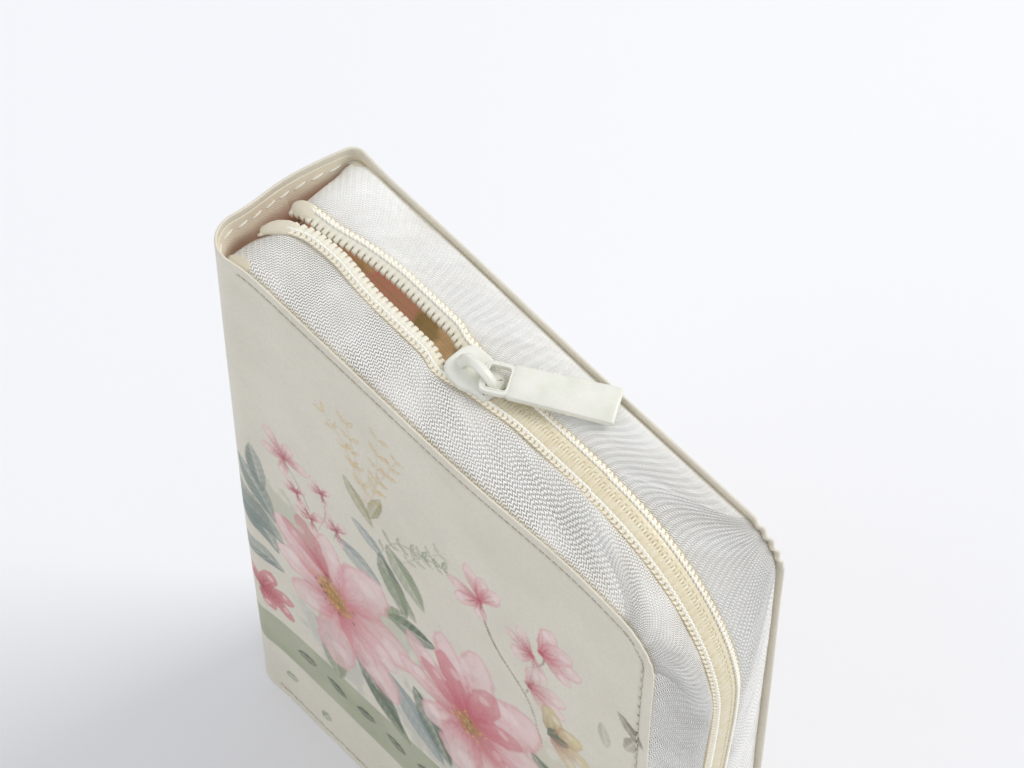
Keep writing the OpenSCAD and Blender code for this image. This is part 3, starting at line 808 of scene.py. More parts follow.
def lip_shift(side, x, on_head):
    """How far the chain lies to one side: to the back past the slider, to the front at the spine end."""
    closed = 1.45 * ease((x - SLIDER_X - 2) / 16)
    mouth = 1.2 * ease((MOUTH_X - x) / 6) - 1.2 * ease((-50 - x) / 14)
    hook = (5.4 if side == FRONT else 0.9) * np.clip((-61 - x) / 11, 0, 1) ** 1.7
    return np.where(on_head, closed + mouth - hook, 1.1)


def lip_lift(x, on_head):
    """The lips stand proud in the mouth, and turn down to meet the spine."""
    down = np.clip((END_X + 5.5 - x) / 8.5, 0, 1) ** 2.2
    return np.where(on_head, 0.9 * np.sin(math.pi * mouth_share(x)) ** 0.7 - 6.4 * down, 0)


CHAIN_TAU = np.linspace(0, SPAN, 4801)
CHAIN_X, CHAIN_Z = u_point(CHAIN_TAU, 1.0, 0.0, FRONT)
CHAIN_S = np.concatenate([[0], np.cumsum(np.hypot(np.diff(CHAIN_X), np.diff(CHAIN_Z)))])
CHAIN_LEN = CHAIN_S[-1]


def chain_frame(s):
    """Place, direction along and direction out of the chain at distance s, as X and Z pairs."""
    s = np.asarray(s, float)
    tau = np.interp(s, CHAIN_S, CHAIN_TAU)
    x, z = u_point(tau, 1.0, 0.0, FRONT)
    a, b = np.clip(s - 0.3, 0, CHAIN_LEN), np.clip(s + 0.3, 0, CHAIN_LEN)
    ax, az = u_point(np.interp(a, CHAIN_S, CHAIN_TAU), 1.0, 0.0, FRONT)
    bx, bz = u_point(np.interp(b, CHAIN_S, CHAIN_TAU), 1.0, 0.0, FRONT)
    n = np.hypot(bx - ax, bz - az)
    tx, tz = (bx - ax) / n, (bz - az) / n
    return tau, x, z, tx, tz


def beside_chain(side, s, across, up, along=0.0):
    """A point beside the chain: across from its middle on that side, above the tape by up."""
    s, across, up, along = np.broadcast_arrays(s, across, up, along)
    tau, x, z, tx, tz = chain_frame(s)
    on_head = tau < 1
    lift = up + lip_lift(x, on_head)
    y = side * (half_gap(x, on_head) + across) + lip_shift(side, x, on_head)
    return np.stack([x + tx * along - tz * lift, y, z + tz * along + tx * lift], axis=-1)


def parting(s):
    """0 where the coils are joined and 1 where they have come apart."""
    tau, x, _, _, _ = chain_frame(s)
    return ease((SLIDER_X + 1 - x) / 5) * (tau < 1)


def dimples(s, y, seed):
    """Soft creases and puckers of the loosely stretched gusset, in millimetres."""
    broad = cloud(s + y * 0.8, y * 1.6, 17, seed, 2) - 0.5
    pleats = cloud(s * 0.9 - y * 0.55, y * 0.25, 5.5, seed + 5, 2) - 0.5
    return 1.5 * broad + 0.55 * pleats


def gusset_surface(side, s, v, raised=0.0):
    """Points of the gusset at distance s along the chain and share v from cover to coil, and their places
    in the weave."""
    s, v = np.broadcast_arrays(np.asarray(s, float), np.asarray(v, float))
    taus = np.interp(s, CHAIN_S, CHAIN_TAU)
    chain_x, _ = u_point(taus, 1.0, 0.0, side)
    on_head = taus < 1
    edge = side * (half_gap(chain_x, on_head) + COIL_W) + lip_shift(side, chain_x, on_head)
    x_flat, z_flat = u_point(taus, v, 0.0, side)
    wall = WALL_Y[side] + bow(side, np.clip(x_flat, X_SPINE, X_EDGE), z_flat)
    if side == FRONT:
        wall = wall + 0.8 * corner_flare(CORNER_X[side] - x_flat, z_flat)
    y = mix(side * wall, edge, v)
    crown = 1.25 * np.sin(math.pi * np.clip(v * 1.06 - 0.02, 0, 1)) ** 0.8
    open_ = ease((SLIDER_X + 1 - chain_x) / 5) * on_head
    ditch = -(0.45 - 0.1 * open_) * gauss(v - 0.93, 0.055)
    tuck = -0.75 * (1 - ease(v / 0.075))
    calm = ease(v / 0.15) * ease((1 - v) / 0.12)
    # the spine end of the tape bends down until it meets the spine's lining
    end = np.minimum(s, CHAIN_LEN - s)
    roll = -6.0 * np.clip(1 - end / 8.5, 0, 1) ** 2.2 * mix(0.4, 1.0, ease(v / 0.35))
    proud = 0.9 * np.sin(math.pi * mouth_share(chain_x)) ** 0.7 * on_head
    slack = 0.7 * gauss(end - 16, 12) * np.sin(math.pi * v) * mouth_share(chain_x) * on_head
    lift = crown + ditch + tuck + proud * ease((v - 0.72) / 0.28) + roll - slack
    lift = lift + dimples(s, side * 40 + y, 101) * calm - 0.5 * gauss(v - 0.985, 0.03)
    x, z = u_point(taus, v, -(lift + raised), side)
    z = np.maximum(z, 0.05)
    return np.stack([x, y, z], axis=-1), np.stack([s, y, v], axis=-1)


def cloth_patch(name, side, s, v, raised, thick, rounded=0.0):
    """A closed sheet on the gusset's surface. rounded draws in the corners of its far end."""
    s, v = np.asarray(s)[:, None], np.asarray(v)[None, :]
    grid_s = s * np.ones_like(v)
    if rounded:
        reach = abs(2 * (v - v.min()) / (v.max() - v.min()) - 1)
        grid_s = s.min() + (s - s.min()) * (1 - rounded * reach**3)
    outer, weave = gusset_surface(side, grid_s, v, raised)
    inner, _ = gusset_surface(side, grid_s, v, raised - thick)
    rows, cols = grid_s.shape
    n, loop = rows * cols, border(rows, cols, True)
    faces = grid_faces(rows, cols) + grid_faces(rows, cols, n)
    faces += [[a, b, b + n, a + n] for a, b in zip(loop, np.roll(loop, -1))]
    obj = make_object(name, np.concatenate([outer.reshape(-1, 3), inner.reshape(-1, 3)]), faces)
    set_vector(obj.data, "weave", np.concatenate([weave.reshape(-1, 3)] * 2))
    return obj


def gusset(side):
    """The woven zip tape between a cover and the coil, with its edges turned down beside both."""
    s, v = np.linspace(0, CHAIN_LEN, 641), np.linspace(0, 1, 40)
    return cloth_patch(f"{SIDE_NAME[side]}_gusset_cloth", side, s, v, 0.0, 0.7)


def end_tabs(side):
    """Cream cloth that finishes the gusset at both ends of the zip: a patch at its corner, mostly tucked in
    at the back, and a roll folded over the last turns of the coil."""
    name = f"{SIDE_NAME[side]}_end_tabs"
    long, wide = (5.4, 0.27) if side == FRONT else (2.4, 0.13)
    v = np.linspace(0.01, wide, 14)
    near = cloth_patch(name, side, np.linspace(0.3, long, 14), v, 0.22, 0.3, 0.5)
    far = cloth_patch(name + "_far", side, np.linspace(CHAIN_LEN - long, CHAIN_LEN - 0.3, 14), v, 0.22, 0.3)
    rolls = []
    for ends in ((0.35, 8.0), (CHAIN_LEN - 8.0, CHAIN_LEN - 0.35)):
        s = np.linspace(*ends, 30)
        tip = ease((4.5 - np.minimum(s, CHAIN_LEN - s)) / 4.5)
        line = beside_chain(side, s, 2.1 + 0.5 * tip, -0.1 + 0.9 * tip)
        rolls.append(capsule(line, 2.25, 16, 0.62))
    return join_objects(join_objects(near, far), make_object(name + "_rolls", *join_parts(rolls)))


# ---------------------------------------------------------------- the zip: its pieces

TOOTH_PITCH = 1.76


def blob_ring(rx, ry, n=10, power=2.6):
    """A rounded rectangle of n points about the origin."""
    a = np.arange(n) / n * TAU
    around = np.stack([np.cos(a), np.sin(a)], axis=-1)
    return np.sign(around) * abs(around) ** (2 / power) * [rx, ry]


def teeth(side):
    """The coil: one flat-topped bar of nylon per turn. Joined, both sides' bars lie side by side right
    across the chain. Parted, each bar ends in a blunt head, with a dark slot before the next."""
    offset = 0.0 if side == FRONT else TOOTH_PITCH / 2
    s = np.arange(1.0 + offset, CHAIN_LEN - 0.8, TOOTH_PITCH)[:, None]
    open_ = parting(s)
    joined_end = -2.45 if side == BACK else -1.35
    stops = ((2.6, 0.34, 0.4), (2.45, 0.42, 0.66), (1.9, 0.42, 0.8), (0.6, 0.42, 0.84), (-0.38, 0.42, 0.84),
             (-0.5, 0.36, 0.66))
    rings = []
    for reach, wide, tall in stops:
        far = mix(joined_end * (0.35 - reach) / 0.85, reach + 0.25, open_) if reach < 0.35 else reach
        slope = -0.32 * (2.6 - far) * open_
        half = wide * mix(1.0, 1.66, open_)
        ring = blob_ring(1.0, tall, 10, 4.5)
        rings.append(beside_chain(side, s, far, slope + ring[None, :, 1], half * ring[None, :, 0]))
    parts = [sweep(r) for r in np.stack(rings, axis=1)]
    parts.append(coil_bed(side))
    if side == FRONT:
        parts += [head_dot(x) for x in s[:, 0] if parting(x) < 0.01]
    return make_object(f"{SIDE_NAME[side]}_coil_teeth", *join_parts(parts))


def coil_bed(side):
    """The filler under the bars, which shuts the gaps between them."""
    s = np.arange(0.4, CHAIN_LEN - 0.4, 0.5)[:, None]
    open_ = parting(s)
    out, top = np.array([(3.95, -0.6), (4.0, -0.15), (3.7, 0.1), (2.8, 0.16), (2.6, 0.36), (2.45, 0.52),
                         (1.9, 0.7), (0.9, 0.72), (0.05, 0.7), (0.0, -0.6)]).T[:, None]
    across = out + 0.85 * open_ * (out < 0.5)
    # the tape is folded over the last turns at both ends
    fold = ease((6.5 - np.minimum(s, CHAIN_LEN - s)) / 1.5)
    across = across + 0.5 * fold * (out > 2)
    up = top - 0.32 * np.maximum(2.6 - across, 0) * open_ + 0.32 * fold * (top > 0.6)
    return sweep(beside_chain(side, s, across, up))


def head_dot(s):
    """The round end of a front bar, which shows as a bead among the back bars."""
    a = np.arange(8) / 8 * TAU
    rings = [beside_chain(FRONT, s, -1.5 + r * np.cos(a), up, r * np.sin(a))
             for r, up in ((0.3, 0.7), (0.3, 0.9), (0.2, 1.02), (0.06, 1.06))]
    return sweep(np.array(rings))


def cord(side):
    """A white two-ply sewing cord beside the coil."""
    radius, pitch, sides = 0.24, 2.3, 6
    s = np.arange(0.6, CHAIN_LEN - 0.6, 0.3)[:, None]
    ring = np.arange(sides)[None, :] / sides * TAU
    plies = []
    for phase in (0, math.pi):
        a = s / pitch * TAU + phase
        across = COIL_W + 0.15 + radius * (0.85 * np.cos(a) + np.cos(ring))
        up = 0.74 + radius * (0.85 * np.sin(a) + np.sin(ring))
        plies.append(sweep(beside_chain(side, s, across, up)))
    return make_object(f"{SIDE_NAME[side]}_coil_cord", *join_parts(plies))


def capsule(points, radius, sides=6, squash=1.0):
    """A rounded thread through a few points in space."""
    p = np.asarray(points, float)
    t = np.gradient(p, axis=0)
    t /= np.linalg.norm(t, axis=1)[:, None]
    ref = np.array([0.0, 1.0, 0.0]) if abs(t[0][1]) < 0.8 else np.array([1.0, 0.0, 0.0])
    n = np.cross(t, ref)
    n /= np.linalg.norm(n, axis=1)[:, None]
    b = np.cross(t, n)
    a = np.arange(sides) / sides * TAU
    ends = np.sin(np.linspace(0.12, math.pi - 0.12, len(p))) ** 0.45
    off = np.cos(a)[None, :, None] * n[:, None] * squash + np.sin(a)[None, :, None] * b[:, None]
    return sweep(p[:, None] + off * radius * ends[:, None, None])


def braid(side):
    """Looped thread that sews the coil to the tape: a chain of V shapes on the coil's outer side."""
    s = np.arange(1.5, CHAIN_LEN - 1.5, 1.45)[:, None]
    t = np.linspace(0, 1, 5)[None, :]
    legs = []
    for leg in (-1, 1):
        across = COIL_W + 0.85 + leg * (0.48 - 0.42 * t)
        up = 0.2 + 0.8 * t * (1 - t) - 0.12 * leg
        legs += [capsule(line, 0.37) for line in beside_chain(side, s + 1.235 * t - 0.6, across, up)]
    return make_object(f"{SIDE_NAME[side]}_coil_braid", *join_parts(legs))


# ---------------------------------------------------------------- slider and pull

def rounded_plan(points, passes=2):
    """A polygon with its corners cut smooth."""
    p = np.asarray(points, float)
    for _ in range(passes):
        q = np.roll(p, -1, axis=0)
        p = np.stack([0.78 * p + 0.22 * q, 0.22 * p + 0.78 * q], axis=1).reshape(-1, 2)
    return p


def inset_plan(p, d):
    t = np.roll(p, -1, axis=0) - np.roll(p, 1, axis=0)
    n = np.stack([-t[:, 1], t[:, 0]], axis=-1) / np.linalg.norm(t, axis=1)[:, None]
    return p + n * d


def slider_outline():
    half, m = (SLIDER_HI[0] - SLIDER_LO[0]) / 2, SLIDER_HI[1]
    n = m * 0.69
    side = [(half, -n), (half, n), (3.2, n + 0.2), (0.8, m), (-half + 4.2, m), (-half + 2.0, m - 0.6),
            (-half + 0.4, 3.0)]
    return rounded_plan(side + [(x, -y) for x, y in reversed(side[2:])])


def sharpen(obj, degrees=38):
    obj.data.set_sharp_from_angle(angle=math.radians(degrees))
    return obj


def slider_body():
    """Two plates round the coil, tied by a wedge at the mouth. The upper one's sides turn down."""
    plan = slider_outline()
    top, low = SLIDER_HI[2], SLIDER_LO[2]
    plate = 1.4
    skirt = top - plate - 0.45

    def ring(inset, z, cut=0.0):
        p = inset_plan(plan, inset)
        lip = cut * ease((3.4 - abs(p[:, 1])) / 0.7)
        return np.stack([p[:, 0] + SLIDER_X, p[:, 1], z + lip + 0 * p[:, 0]], axis=-1)

    upper = [ring(0.9, top - plate), ring(0.85, skirt, 0.4), ring(0.15, skirt, 0.4),
             ring(0.0, skirt + 0.15, 0.4)]
    for inset, up in ((0.0, -0.75), (0.1, -0.4), (0.38, -0.12), (0.9, 0.0), (2.2, 0.06)):
        upper.append(ring(inset, top + up))
    sides = ((0.6, 0.0), (0.1, 0.2), (0.0, 0.5), (0.0, plate - 0.2), (0.2, plate))
    lower = [ring(inset, low + up) for inset, up in sides]
    wedge = [(-7.2, 1.2), (-7.2, -1.2), (-4.9, -1.1), (-2.9, -0.4), (-2.9, 0.4), (-4.9, 1.1)]
    wedge = rounded_plan(wedge, 1)
    tie = [np.stack([wedge[:, 0] + SLIDER_X, wedge[:, 1], z + 0 * wedge[:, 0]], axis=-1)
           for z in (low + plate - 0.1, top - plate + 0.1)]
    verts, faces = join_parts([sweep(upper), sweep(lower), sweep(tie)])
    return sharpen(make_object("slider_shell", verts, faces))


def slider_crown():
    """The arch over the slider, broad where it springs from the mouth, with a ridge along its back."""
    lo, hi = box_mm("slider_crown")
    mid, rx, rz = (lo[0] + hi[0]) / 2, (hi[0] - lo[0]) / 2, hi[2] - lo[2]
    section = [(0.0, -0.6), (0.12, -0.92), (0.4, -1.0), (0.72, -1.0), (0.88, -0.84), (0.93, -0.45),
               (1.1, -0.2)]
    section += [(f, -w) for f, w in reversed(section)]
    rings = []
    for a in np.linspace(-0.04, math.pi + 0.04, 34):
        c, s = math.cos(a), math.sin(a)
        outer = np.array([mid + rx * c, rz * s])
        inner = np.array([mid + 0.7 + (rx - 2.1) * c, (rz - 1.3) * s])
        foot = ease((a - 2.0) / 1.1)
        width = 1.25 + 0.75 * foot
        ring = [[*(inner + (outer - inner) * f), w * width] for f, w in section]
        rings.append([[x, y, lo[2] - 0.1 + z] for x, z, y in ring])
    return sharpen(make_object("slider_arch", *sweep(rings)), 50)


def pull_place(points):
    """From the pull's own X along, Y across and Z up, to the row frame."""
    yaw = math.atan2(PULL_AXIS[0], -PULL_AXIS[1])
    p = np.asarray(points, float)
    c, s = math.cos(yaw), math.sin(yaw)
    return np.stack([PULL_POS[0] + p[..., 0] * c - p[..., 1] * s,
                     PULL_POS[1] + p[..., 0] * s + p[..., 1] * c, PULL_POS[2] + p[..., 2]], axis=-1)


def loop_bar(cx, rx, ry, half_x, half_z, z=0.0, power=5.0):
    """A closed bar round the pull's window."""
    n = 64
    a = np.arange(n) / n * TAU
    c, s = np.cos(a), np.sin(a)
    path = blob_ring(rx, ry, n, power) + [cx, 0]
    out = np.stack([np.sign(c) * abs(c) ** 0.7, np.sign(s) * abs(s) ** 0.7], axis=-1)
    out /= np.linalg.norm(out, axis=1)[:, None]
    ring = blob_ring(half_x, half_z, 12, 3.6)
    pts = np.zeros((n, 12, 3))
    pts[..., :2] = path[:, None] + out[:, None] * ring[None, :, :1]
    pts[..., 2] = z + ring[None, :, 1]
    faces = grid_faces(n, 12, around=True)
    faces += [[(n - 1) * 12 + j, (n - 1) * 12 + (j + 1) % 12, (j + 1) % 12, j] for j in range(12)]
    return pull_place(pts).reshape(-1, 3), faces


def pull_plate():
    """The flat, slightly flared plate that the fingers hold."""
    length = 32.0
    rings = []
    for x, inset in ((6.3, 0.5), (6.42, 0.2), (6.7, 0.0), *((x, 0.0) for x in np.linspace(9, 30.5, 10)),
                     (length - 0.5, 0.04), (length - 0.15, 0.22), (length, 0.55)):
        half = mix(4.45, 4.95, (x - 6.3) / (length - 6.3)) - inset
        thick = 0.9 - inset * 0.9
        c = 0.28
        right = [(half, -thick + c), (half, thick - c), (half - c * 0.35, thick - c * 0.35),
                 (half - c, thick)]
        flat = [*right, (0, thick + 0.05), *((-y, z) for y, z in reversed(right)), (-half + c, -thick),
                (half - c, -thick)]
        rings.append(pull_place([[x, y, z] for y, z in flat]))
    return sweep(rings)


def pull():
    """The pull: a bar round its window, a raised lip round that, and the plate."""
    frame_bar = loop_bar(3.35, 3.3, 3.78, 0.68, 0.82)
    lip = loop_bar(3.5, 2.75, 3.3, 0.2, 0.22, 0.72, 7.0)
    obj = make_object("pull_plate", *join_parts([frame_bar, lip, pull_plate()]))
    return sharpen(obj, 42)


# ---------------------------------------------------------------- stitches

STITCH_INSET = 3.3


def cover_stitch_path(side):
    """U and Z of the middle of each stitch round the cover, with its direction."""
    inset, pitch = STITCH_INSET, 4.2
    x0, x1, r = HINGE_X[side] + 1.7, X_EDGE - COVER_R, COVER_R - inset
    runs, rises = int((x1 - x0) / pitch), int((HEIGHT - 2 * COVER_R) / pitch)
    out = []
    for z in (inset, HEIGHT - inset):
        out += [(mix(x0, x1, (i + 0.5) / runs), z, 0.0) for i in range(runs)]
    for i in range(rises):
        out.append((X_EDGE - inset, mix(COVER_R, HEIGHT - COVER_R, (i + 0.5) / rises), math.pi / 2))
    turns = max(1, round(r * math.pi / 2 / pitch))
    for top in (1, -1):
        for i in range(turns):
            a = (i + 0.5) * math.pi / 2 / turns
            mid = HEIGHT - COVER_R if top > 0 else COVER_R
            out.append((x1 + r * math.cos(a), mid + top * r * math.sin(a), math.pi / 2 + top * a))
    return out


def cover_stitching(side):
    """Bent lengths of thread that dip into their needle holes."""
    parts = []
    for u, z, way in cover_stitch_path(side):
        t = np.linspace(-1, 1, 9)
        along = t * 1.5
        depth = 0.5 * abs(t) ** 3 - 0.08
        pts = shell_point(side, u + along * math.cos(way), z + along * math.sin(way), depth)
        parts.append(capsule(pts, 0.2, 8))
    return make_object(f"{SIDE_NAME[side]}_cover_thread", *join_parts(parts))


def needle_holes(side, u, z):
    """How deep the leather is drawn in at the ends of each stitch, from 0 to 1."""
    deep = np.zeros(len(u))
    for su, sz, way in cover_stitch_path(side):
        near = np.where((abs(u - su) < 3.4) & (abs(z - sz) < 3.4))[0]
        du, dz = u[near] - su, z[near] - sz
        along = du * math.cos(way) + dz * math.sin(way)
        across = dz * math.cos(way) - du * math.sin(way)
        ends = gauss(abs(along) - 1.75, 0.44) * gauss(across, 0.4)
        deep[near] = np.maximum(deep[near], ends)
    return deep


def spine_stitching(z, name):
    """Long slanted stitches inside the spine, under one rim."""
    parts = []
    reach = SPINE_LEN[FRONT] + SPINE_LEN[BACK] - 6
    count = int(reach / 4.1)
    for k in range(count):
        d = -SPINE_LEN[FRONT] + 4 + (k + 0.5) * reach / count
        side = FRONT if d < 0 else BACK
        t = np.linspace(-1, 1, 9)
        past = np.full(9, SPINE_LEN[side] - abs(d)) + t * 1.45 * (-side)
        pts = shell_point(side, CORNER_X[side] - past, z + t * 0.35, 1.3 - 0.2 * abs(t) ** 3)
        parts.append(capsule(pts, 0.24, 8))
    return make_object(name, *join_parts(parts))


# ---------------------------------------------------------------- the cover's pieces

def cover_leather(side):
    """The printed leatherette of one cover and half the spine, with its edges turned over the board."""
    rim = [(0.0, 0.3), (0.1, 0.08), (0.28, 0.0), (0.5, 0.0), (0.66, 0.1), (0.72, 0.35), (0.75, 1.4),
           (1.1, 7.5)]
    pleats = 0.8 if side == BACK else 0.12

    def wobble(u, z):
        soft = 0.25 * (cloud(u, z, 26, 61 + side, 2) - 0.5)
        corner = ease((u - (X_EDGE - 13)) / 6) * (ease((z - HEIGHT + 13) / 6) + ease((13 - z) / 6))
        around = np.arctan2(z - (HEIGHT - COVER_R), u - (X_EDGE - COVER_R)) * COVER_R
        gathers = pleats * (0.5 - 0.5 * np.cos(around * TAU / 3.4)) * corner
        return gathers * ease((corner - 0.2) / 0.5) + soft * ease((u - HINGE_X[side] - 5) / 10)

    fine = (0.42, 0.62) if side == FRONT else (0.58, 0.66)
    verts, faces, u, z = shell(side, 0.0, rim, *fine, wobble=wobble, far_cap=False)
    count = len(u)
    holes = needle_holes(side, u, z)
    paint = paint_front(u, z) if side == FRONT else paint_back(u, z)
    # a stitched groove, and needle holes in it, both pressed in and darkened with painted shade
    edge = np.minimum(np.minimum(X_EDGE - u, z), HEIGHT - z)
    paint.lay(EVERYWHERE, 1.1 * holes**1.5, srgb(84, 76, 62))
    groove = gauss(edge - STITCH_INSET, 0.9) * (u > HINGE_X[side] + 1)
    paint.lay(EVERYWHERE, 0.12 * groove, srgb(150, 142, 126))
    rgb = np.repeat(srgb(230, 224, 208)[None, :], len(verts), axis=0)
    rgb[:count] = paint.rgb
    normal_in = shell_point(side, u, z, 1.0) - shell_point(side, u, z, 0.0)
    verts[:count] += normal_in * (0.16 * groove + 0.35 * holes)[:, None]
    obj = make_object(f"{SIDE_NAME[side]}_cover_leatherette", verts, faces)
    set_color(obj.data, "print", rgb)
    return obj


def cover_board(side):
    layers = [(1.05, 0.0), (1.5, 0.0)]
    verts, faces, _, _ = shell(side, 8.0, layers, 3.0, 3.0, r=4.0, u_from=HINGE_X[side] + 2)
    return make_object(f"{SIDE_NAME[side]}_greyboard", verts, faces)


def cover_lining(side):
    """The lining runs from mid-spine across the hinge and over the board."""
    def over_board(u, z):
        edge = np.minimum(np.minimum(z, HEIGHT - z), X_EDGE - u)
        turned_edge = -0.5 * np.clip((7.5 - edge) / 6.1, 0, 1)
        return turned_edge + (0.6 if side == FRONT else 0.2) * ease((edge - 5) / 4)

    layers = [(1.13, 0.1), (1.2, 0.0), (1.3, 0.0), (1.36, 0.15)]
    verts, faces, _, _ = shell(side, 2.2, layers, 1.0, 1.5, r=COVER_R - 2.2, wobble=over_board)
    return make_object(f"{SIDE_NAME[side]}_lining_cloth", verts, faces)


def spine_board():
    """The stiffener, which follows the inside of the spine from corner to corner."""
    places = np.linspace(-SPINE_LEN[FRONT] + 9, SPINE_LEN[BACK] - 5, 40)
    zs = np.linspace(9.0, HEIGHT - 9.0, int(HEIGHT / 3))

    def point_at(depth, _):
        sides = [FRONT if d < 0 else BACK for d in places]
        return np.stack([shell_point(side, CORNER_X[side] - SPINE_LEN[side] + abs(d), zs, depth)
                         for side, d in zip(sides, places)], axis=1)

    return make_object("spine_greyboard", *slab(point_at, len(zs), len(places), [(1.0, 0), (1.3, 0)]))


# ---------------------------------------------------------------- pages

PAGE_R = 14.0
GUTTER_X = JOINT["front_leaves_turn"]["pos_m"][0] / MM


def paper_block(name, y0, y1, x0, seed, pitch=0.42):
    """A pile of leaves whose edges don't quite line up."""
    rng = np.random.default_rng(seed)
    z0, z1, x1 = BLOCK_LO[2], BLOCK_HI[2], BLOCK_HI[0]
    near_gutter = np.linspace(x0, GUTTER_X + 6, 14)
    us = np.concatenate([near_gutter, np.linspace(GUTTER_X + 6, x1, 44)[1:]])
    zs = rounded_rows(z0, z1, PAGE_R, 3.2)
    count = max(1, int((y1 - y0) / pitch))
    depths = [(k / count, rng.uniform(0, 0.28)) for k in range(count + 1)]
    depths[0], depths[-1] = (0.0, 0.3), (1.0, 0.3)

    def point_at(share, inset):
        u, z = sheet_grid(us, zs, z0, z1, PAGE_R, inset, x1 - 60)
        return np.stack([u, np.full_like(u, mix(y0, y1, share)), z], axis=-1)

    verts, faces = slab(point_at, len(zs), len(us), depths)
    return make_object(name, verts, faces)


# ---------------------------------------------------------------- materials

def leatherette():
    """Printed leatherette: a fine pebbled grain, a soft sheen and a little handling wear."""
    m = Shader("printed_leatherette", 0.5, 0.35)
    place = m.place()
    printed = m.add("Attribute", 0, {"attribute_name": "print"})
    grain = m.add("TexVoronoi", 0, {"feature": "SMOOTH_F1"}, i0=place, Scale=1.15, Smoothness=0.6)
    fine = m.noise(place, 2.6, 3)
    mottled = m.shift(m.noise(place, 0.06, 4), 0.35, 0.7, printed, srgb(178, 170, 154), 0.16)
    m.color(m.shift(grain, 0.1, 0.7, mottled, srgb(128, 120, 106), 0.07))
    m.rough(m.range(fine, 0.3, 0.7, 0.44, 0.6))
    under = m.bump(m.noise(place, 0.32, 3), 0.22, 0.5)
    m.bump(m.plus(m.times(grain, -1.0), fine), 0.07, 0.55, under)
    return m.material


def satin_weave():
    """Bright white zip tape: a slanted zigzag twill, looser and creamier towards its edges. The dark gaps
    between its ribs are painted shade, and so is the creamy tint beside the coil, in the ditch there; its
    back half is painted lighter.
    """
    m = Shader("satin_gusset", 0.42, 0.5, Sheen_Weight=0.25, Sheen_Roughness=0.4)
    weave = m.add("Attribute", 1, {"attribute_name": "weave"})
    s, y, v = m.axes(weave)
    along = m.times(m.plus(s, y), 0.7071)
    across = m.times(m.math("SUBTRACT", s, y), 0.7071)
    zigzag = m.times(m.math("PINGPONG", along, 0.75), 0.62)
    wander = m.times(m.noise(weave, 0.12, 2), 1.6)
    ribs = m.wave(m.plus(m.plus(across, zigzag), wander), 0.62)
    rungs = m.wave(along, 0.6)
    hills = m.range(m.plus(m.times(ribs, 0.8), m.times(rungs, 0.2)), -1.0, 0.9)
    # painted light: the shaded gaps between the ribs show less on the back half, to paint it lighter, and
    # partly come back near the corner
    open_weave = m.range(m.noise(weave, 0.07, 3), 0.34, 0.6, 0.5, 1.0)
    to_corner = m.range(s, 75.0, 112.0)
    painted_light_gap_share = m.math("MAXIMUM", m.range(y, 3.0, 9.0, 1.0, 0.3), m.times(to_corner, 0.6))
    gaps = m.times(m.times(m.range(hills, 0.62, 0.12), open_weave), painted_light_gap_share)
    white = m.shift(m.noise(weave, 0.09, 2), 0.4, 0.7, srgb(250, 250, 247), srgb(238, 235, 228), 0.5)
    # painted shade in the gaps between the ribs
    shaded = m.blend(m.times(gaps, 0.9), white, srgb(134, 127, 118))
    # a creamy tint at the cover edge, and painted shade of the ditch as a creamy tint beside the coil
    cream_edges_and_ditch_shade = m.math("MAXIMUM", m.range(v, 0.1, 0.0, 0.0, 0.6), m.range(v, 0.86, 0.95, 0.0, 0.8))
    satin = m.blend(cream_edges_and_ditch_shade, shaded, srgb(228, 217, 192))
    m.color(satin)
    # painted light: the back half glows a little, to paint it brighter, a little less near the corner
    m.glow(satin, m.times(m.range(y, 2.0, 9.0, 0.0, 0.12), m.range(to_corner, 0.0, 1.0, 1.0, 0.8)))
    m.rough(m.range(hills, 0.0, 1.0, 0.62, 0.36))
    m.bump(hills, 0.2, 1.0, m.bump(m.noise(weave, 0.25, 3), 0.35, 0.5))
    return m.material


def nylon(name, tone, shade, ribs):
    """Moulded nylon with faint draw lines, painted whiter where the coil is open: painted light on the
    parted coil in the mouth.
    """
    m = Shader(name, 0.34, 0.5)
    place = m.place()
    noise = m.noise(place, ribs, 3)
    worn = m.shift(noise, 0.35, 0.68, tone, shade, 0.7)
    # painted light: whiter towards the spine from a little past the slider, along the tail's run too
    m.color(m.shift(m.axes(place)[0], SLIDER_X, SLIDER_X - 16, worn, srgb(238, 236, 224), 0.7))
    m.rough(m.range(noise, 0.3, 0.7, 0.26, 0.42))
    m.bump(m.noise(place, ribs * 3.4, 2), 0.04, 0.5)
    return m.material


def sewing_thread(name, tone, shade, glow=0.0):
    """Spun thread, with fine plies. glow is painted light: the thread glows a little, to lighten it where
    it lies in shade.
    """
    m = Shader(name, 0.62, 0.3, Sheen_Weight=0.2, Sheen_Roughness=0.5)
    place = m.place()
    ply = m.bands(place, "DIAGONAL", 3.1, 1.2, 2.0)
    spun = m.blend(m.range(ply, 0.0, 0.45, 0.55, 0.0), tone, shade)
    m.color(spun)
    m.glow(spun, glow)
    m.rough(m.range(ply, 0.0, 1.0, 0.7, 0.5))
    m.bump(ply, 0.06, 0.7)
    return m.material


def enamel():
    """Die-cast metal under thick off-white enamel, a little thinner and warmer on worn edges."""
    m = Shader("slider_enamel", 0.3, 0.5, Coat_Weight=0.35, Coat_Roughness=0.18)
    place = m.place()
    flow = m.noise(place, 0.16, 4)
    m.color(m.shift(flow, 0.36, 0.66, srgb(238, 238, 229), srgb(226, 227, 214), 0.8))
    m.rough(m.range(m.noise(place, 1.6, 2), 0.3, 0.7, 0.24, 0.38))
    m.bump(flow, 0.12, 0.3)
    return m.material


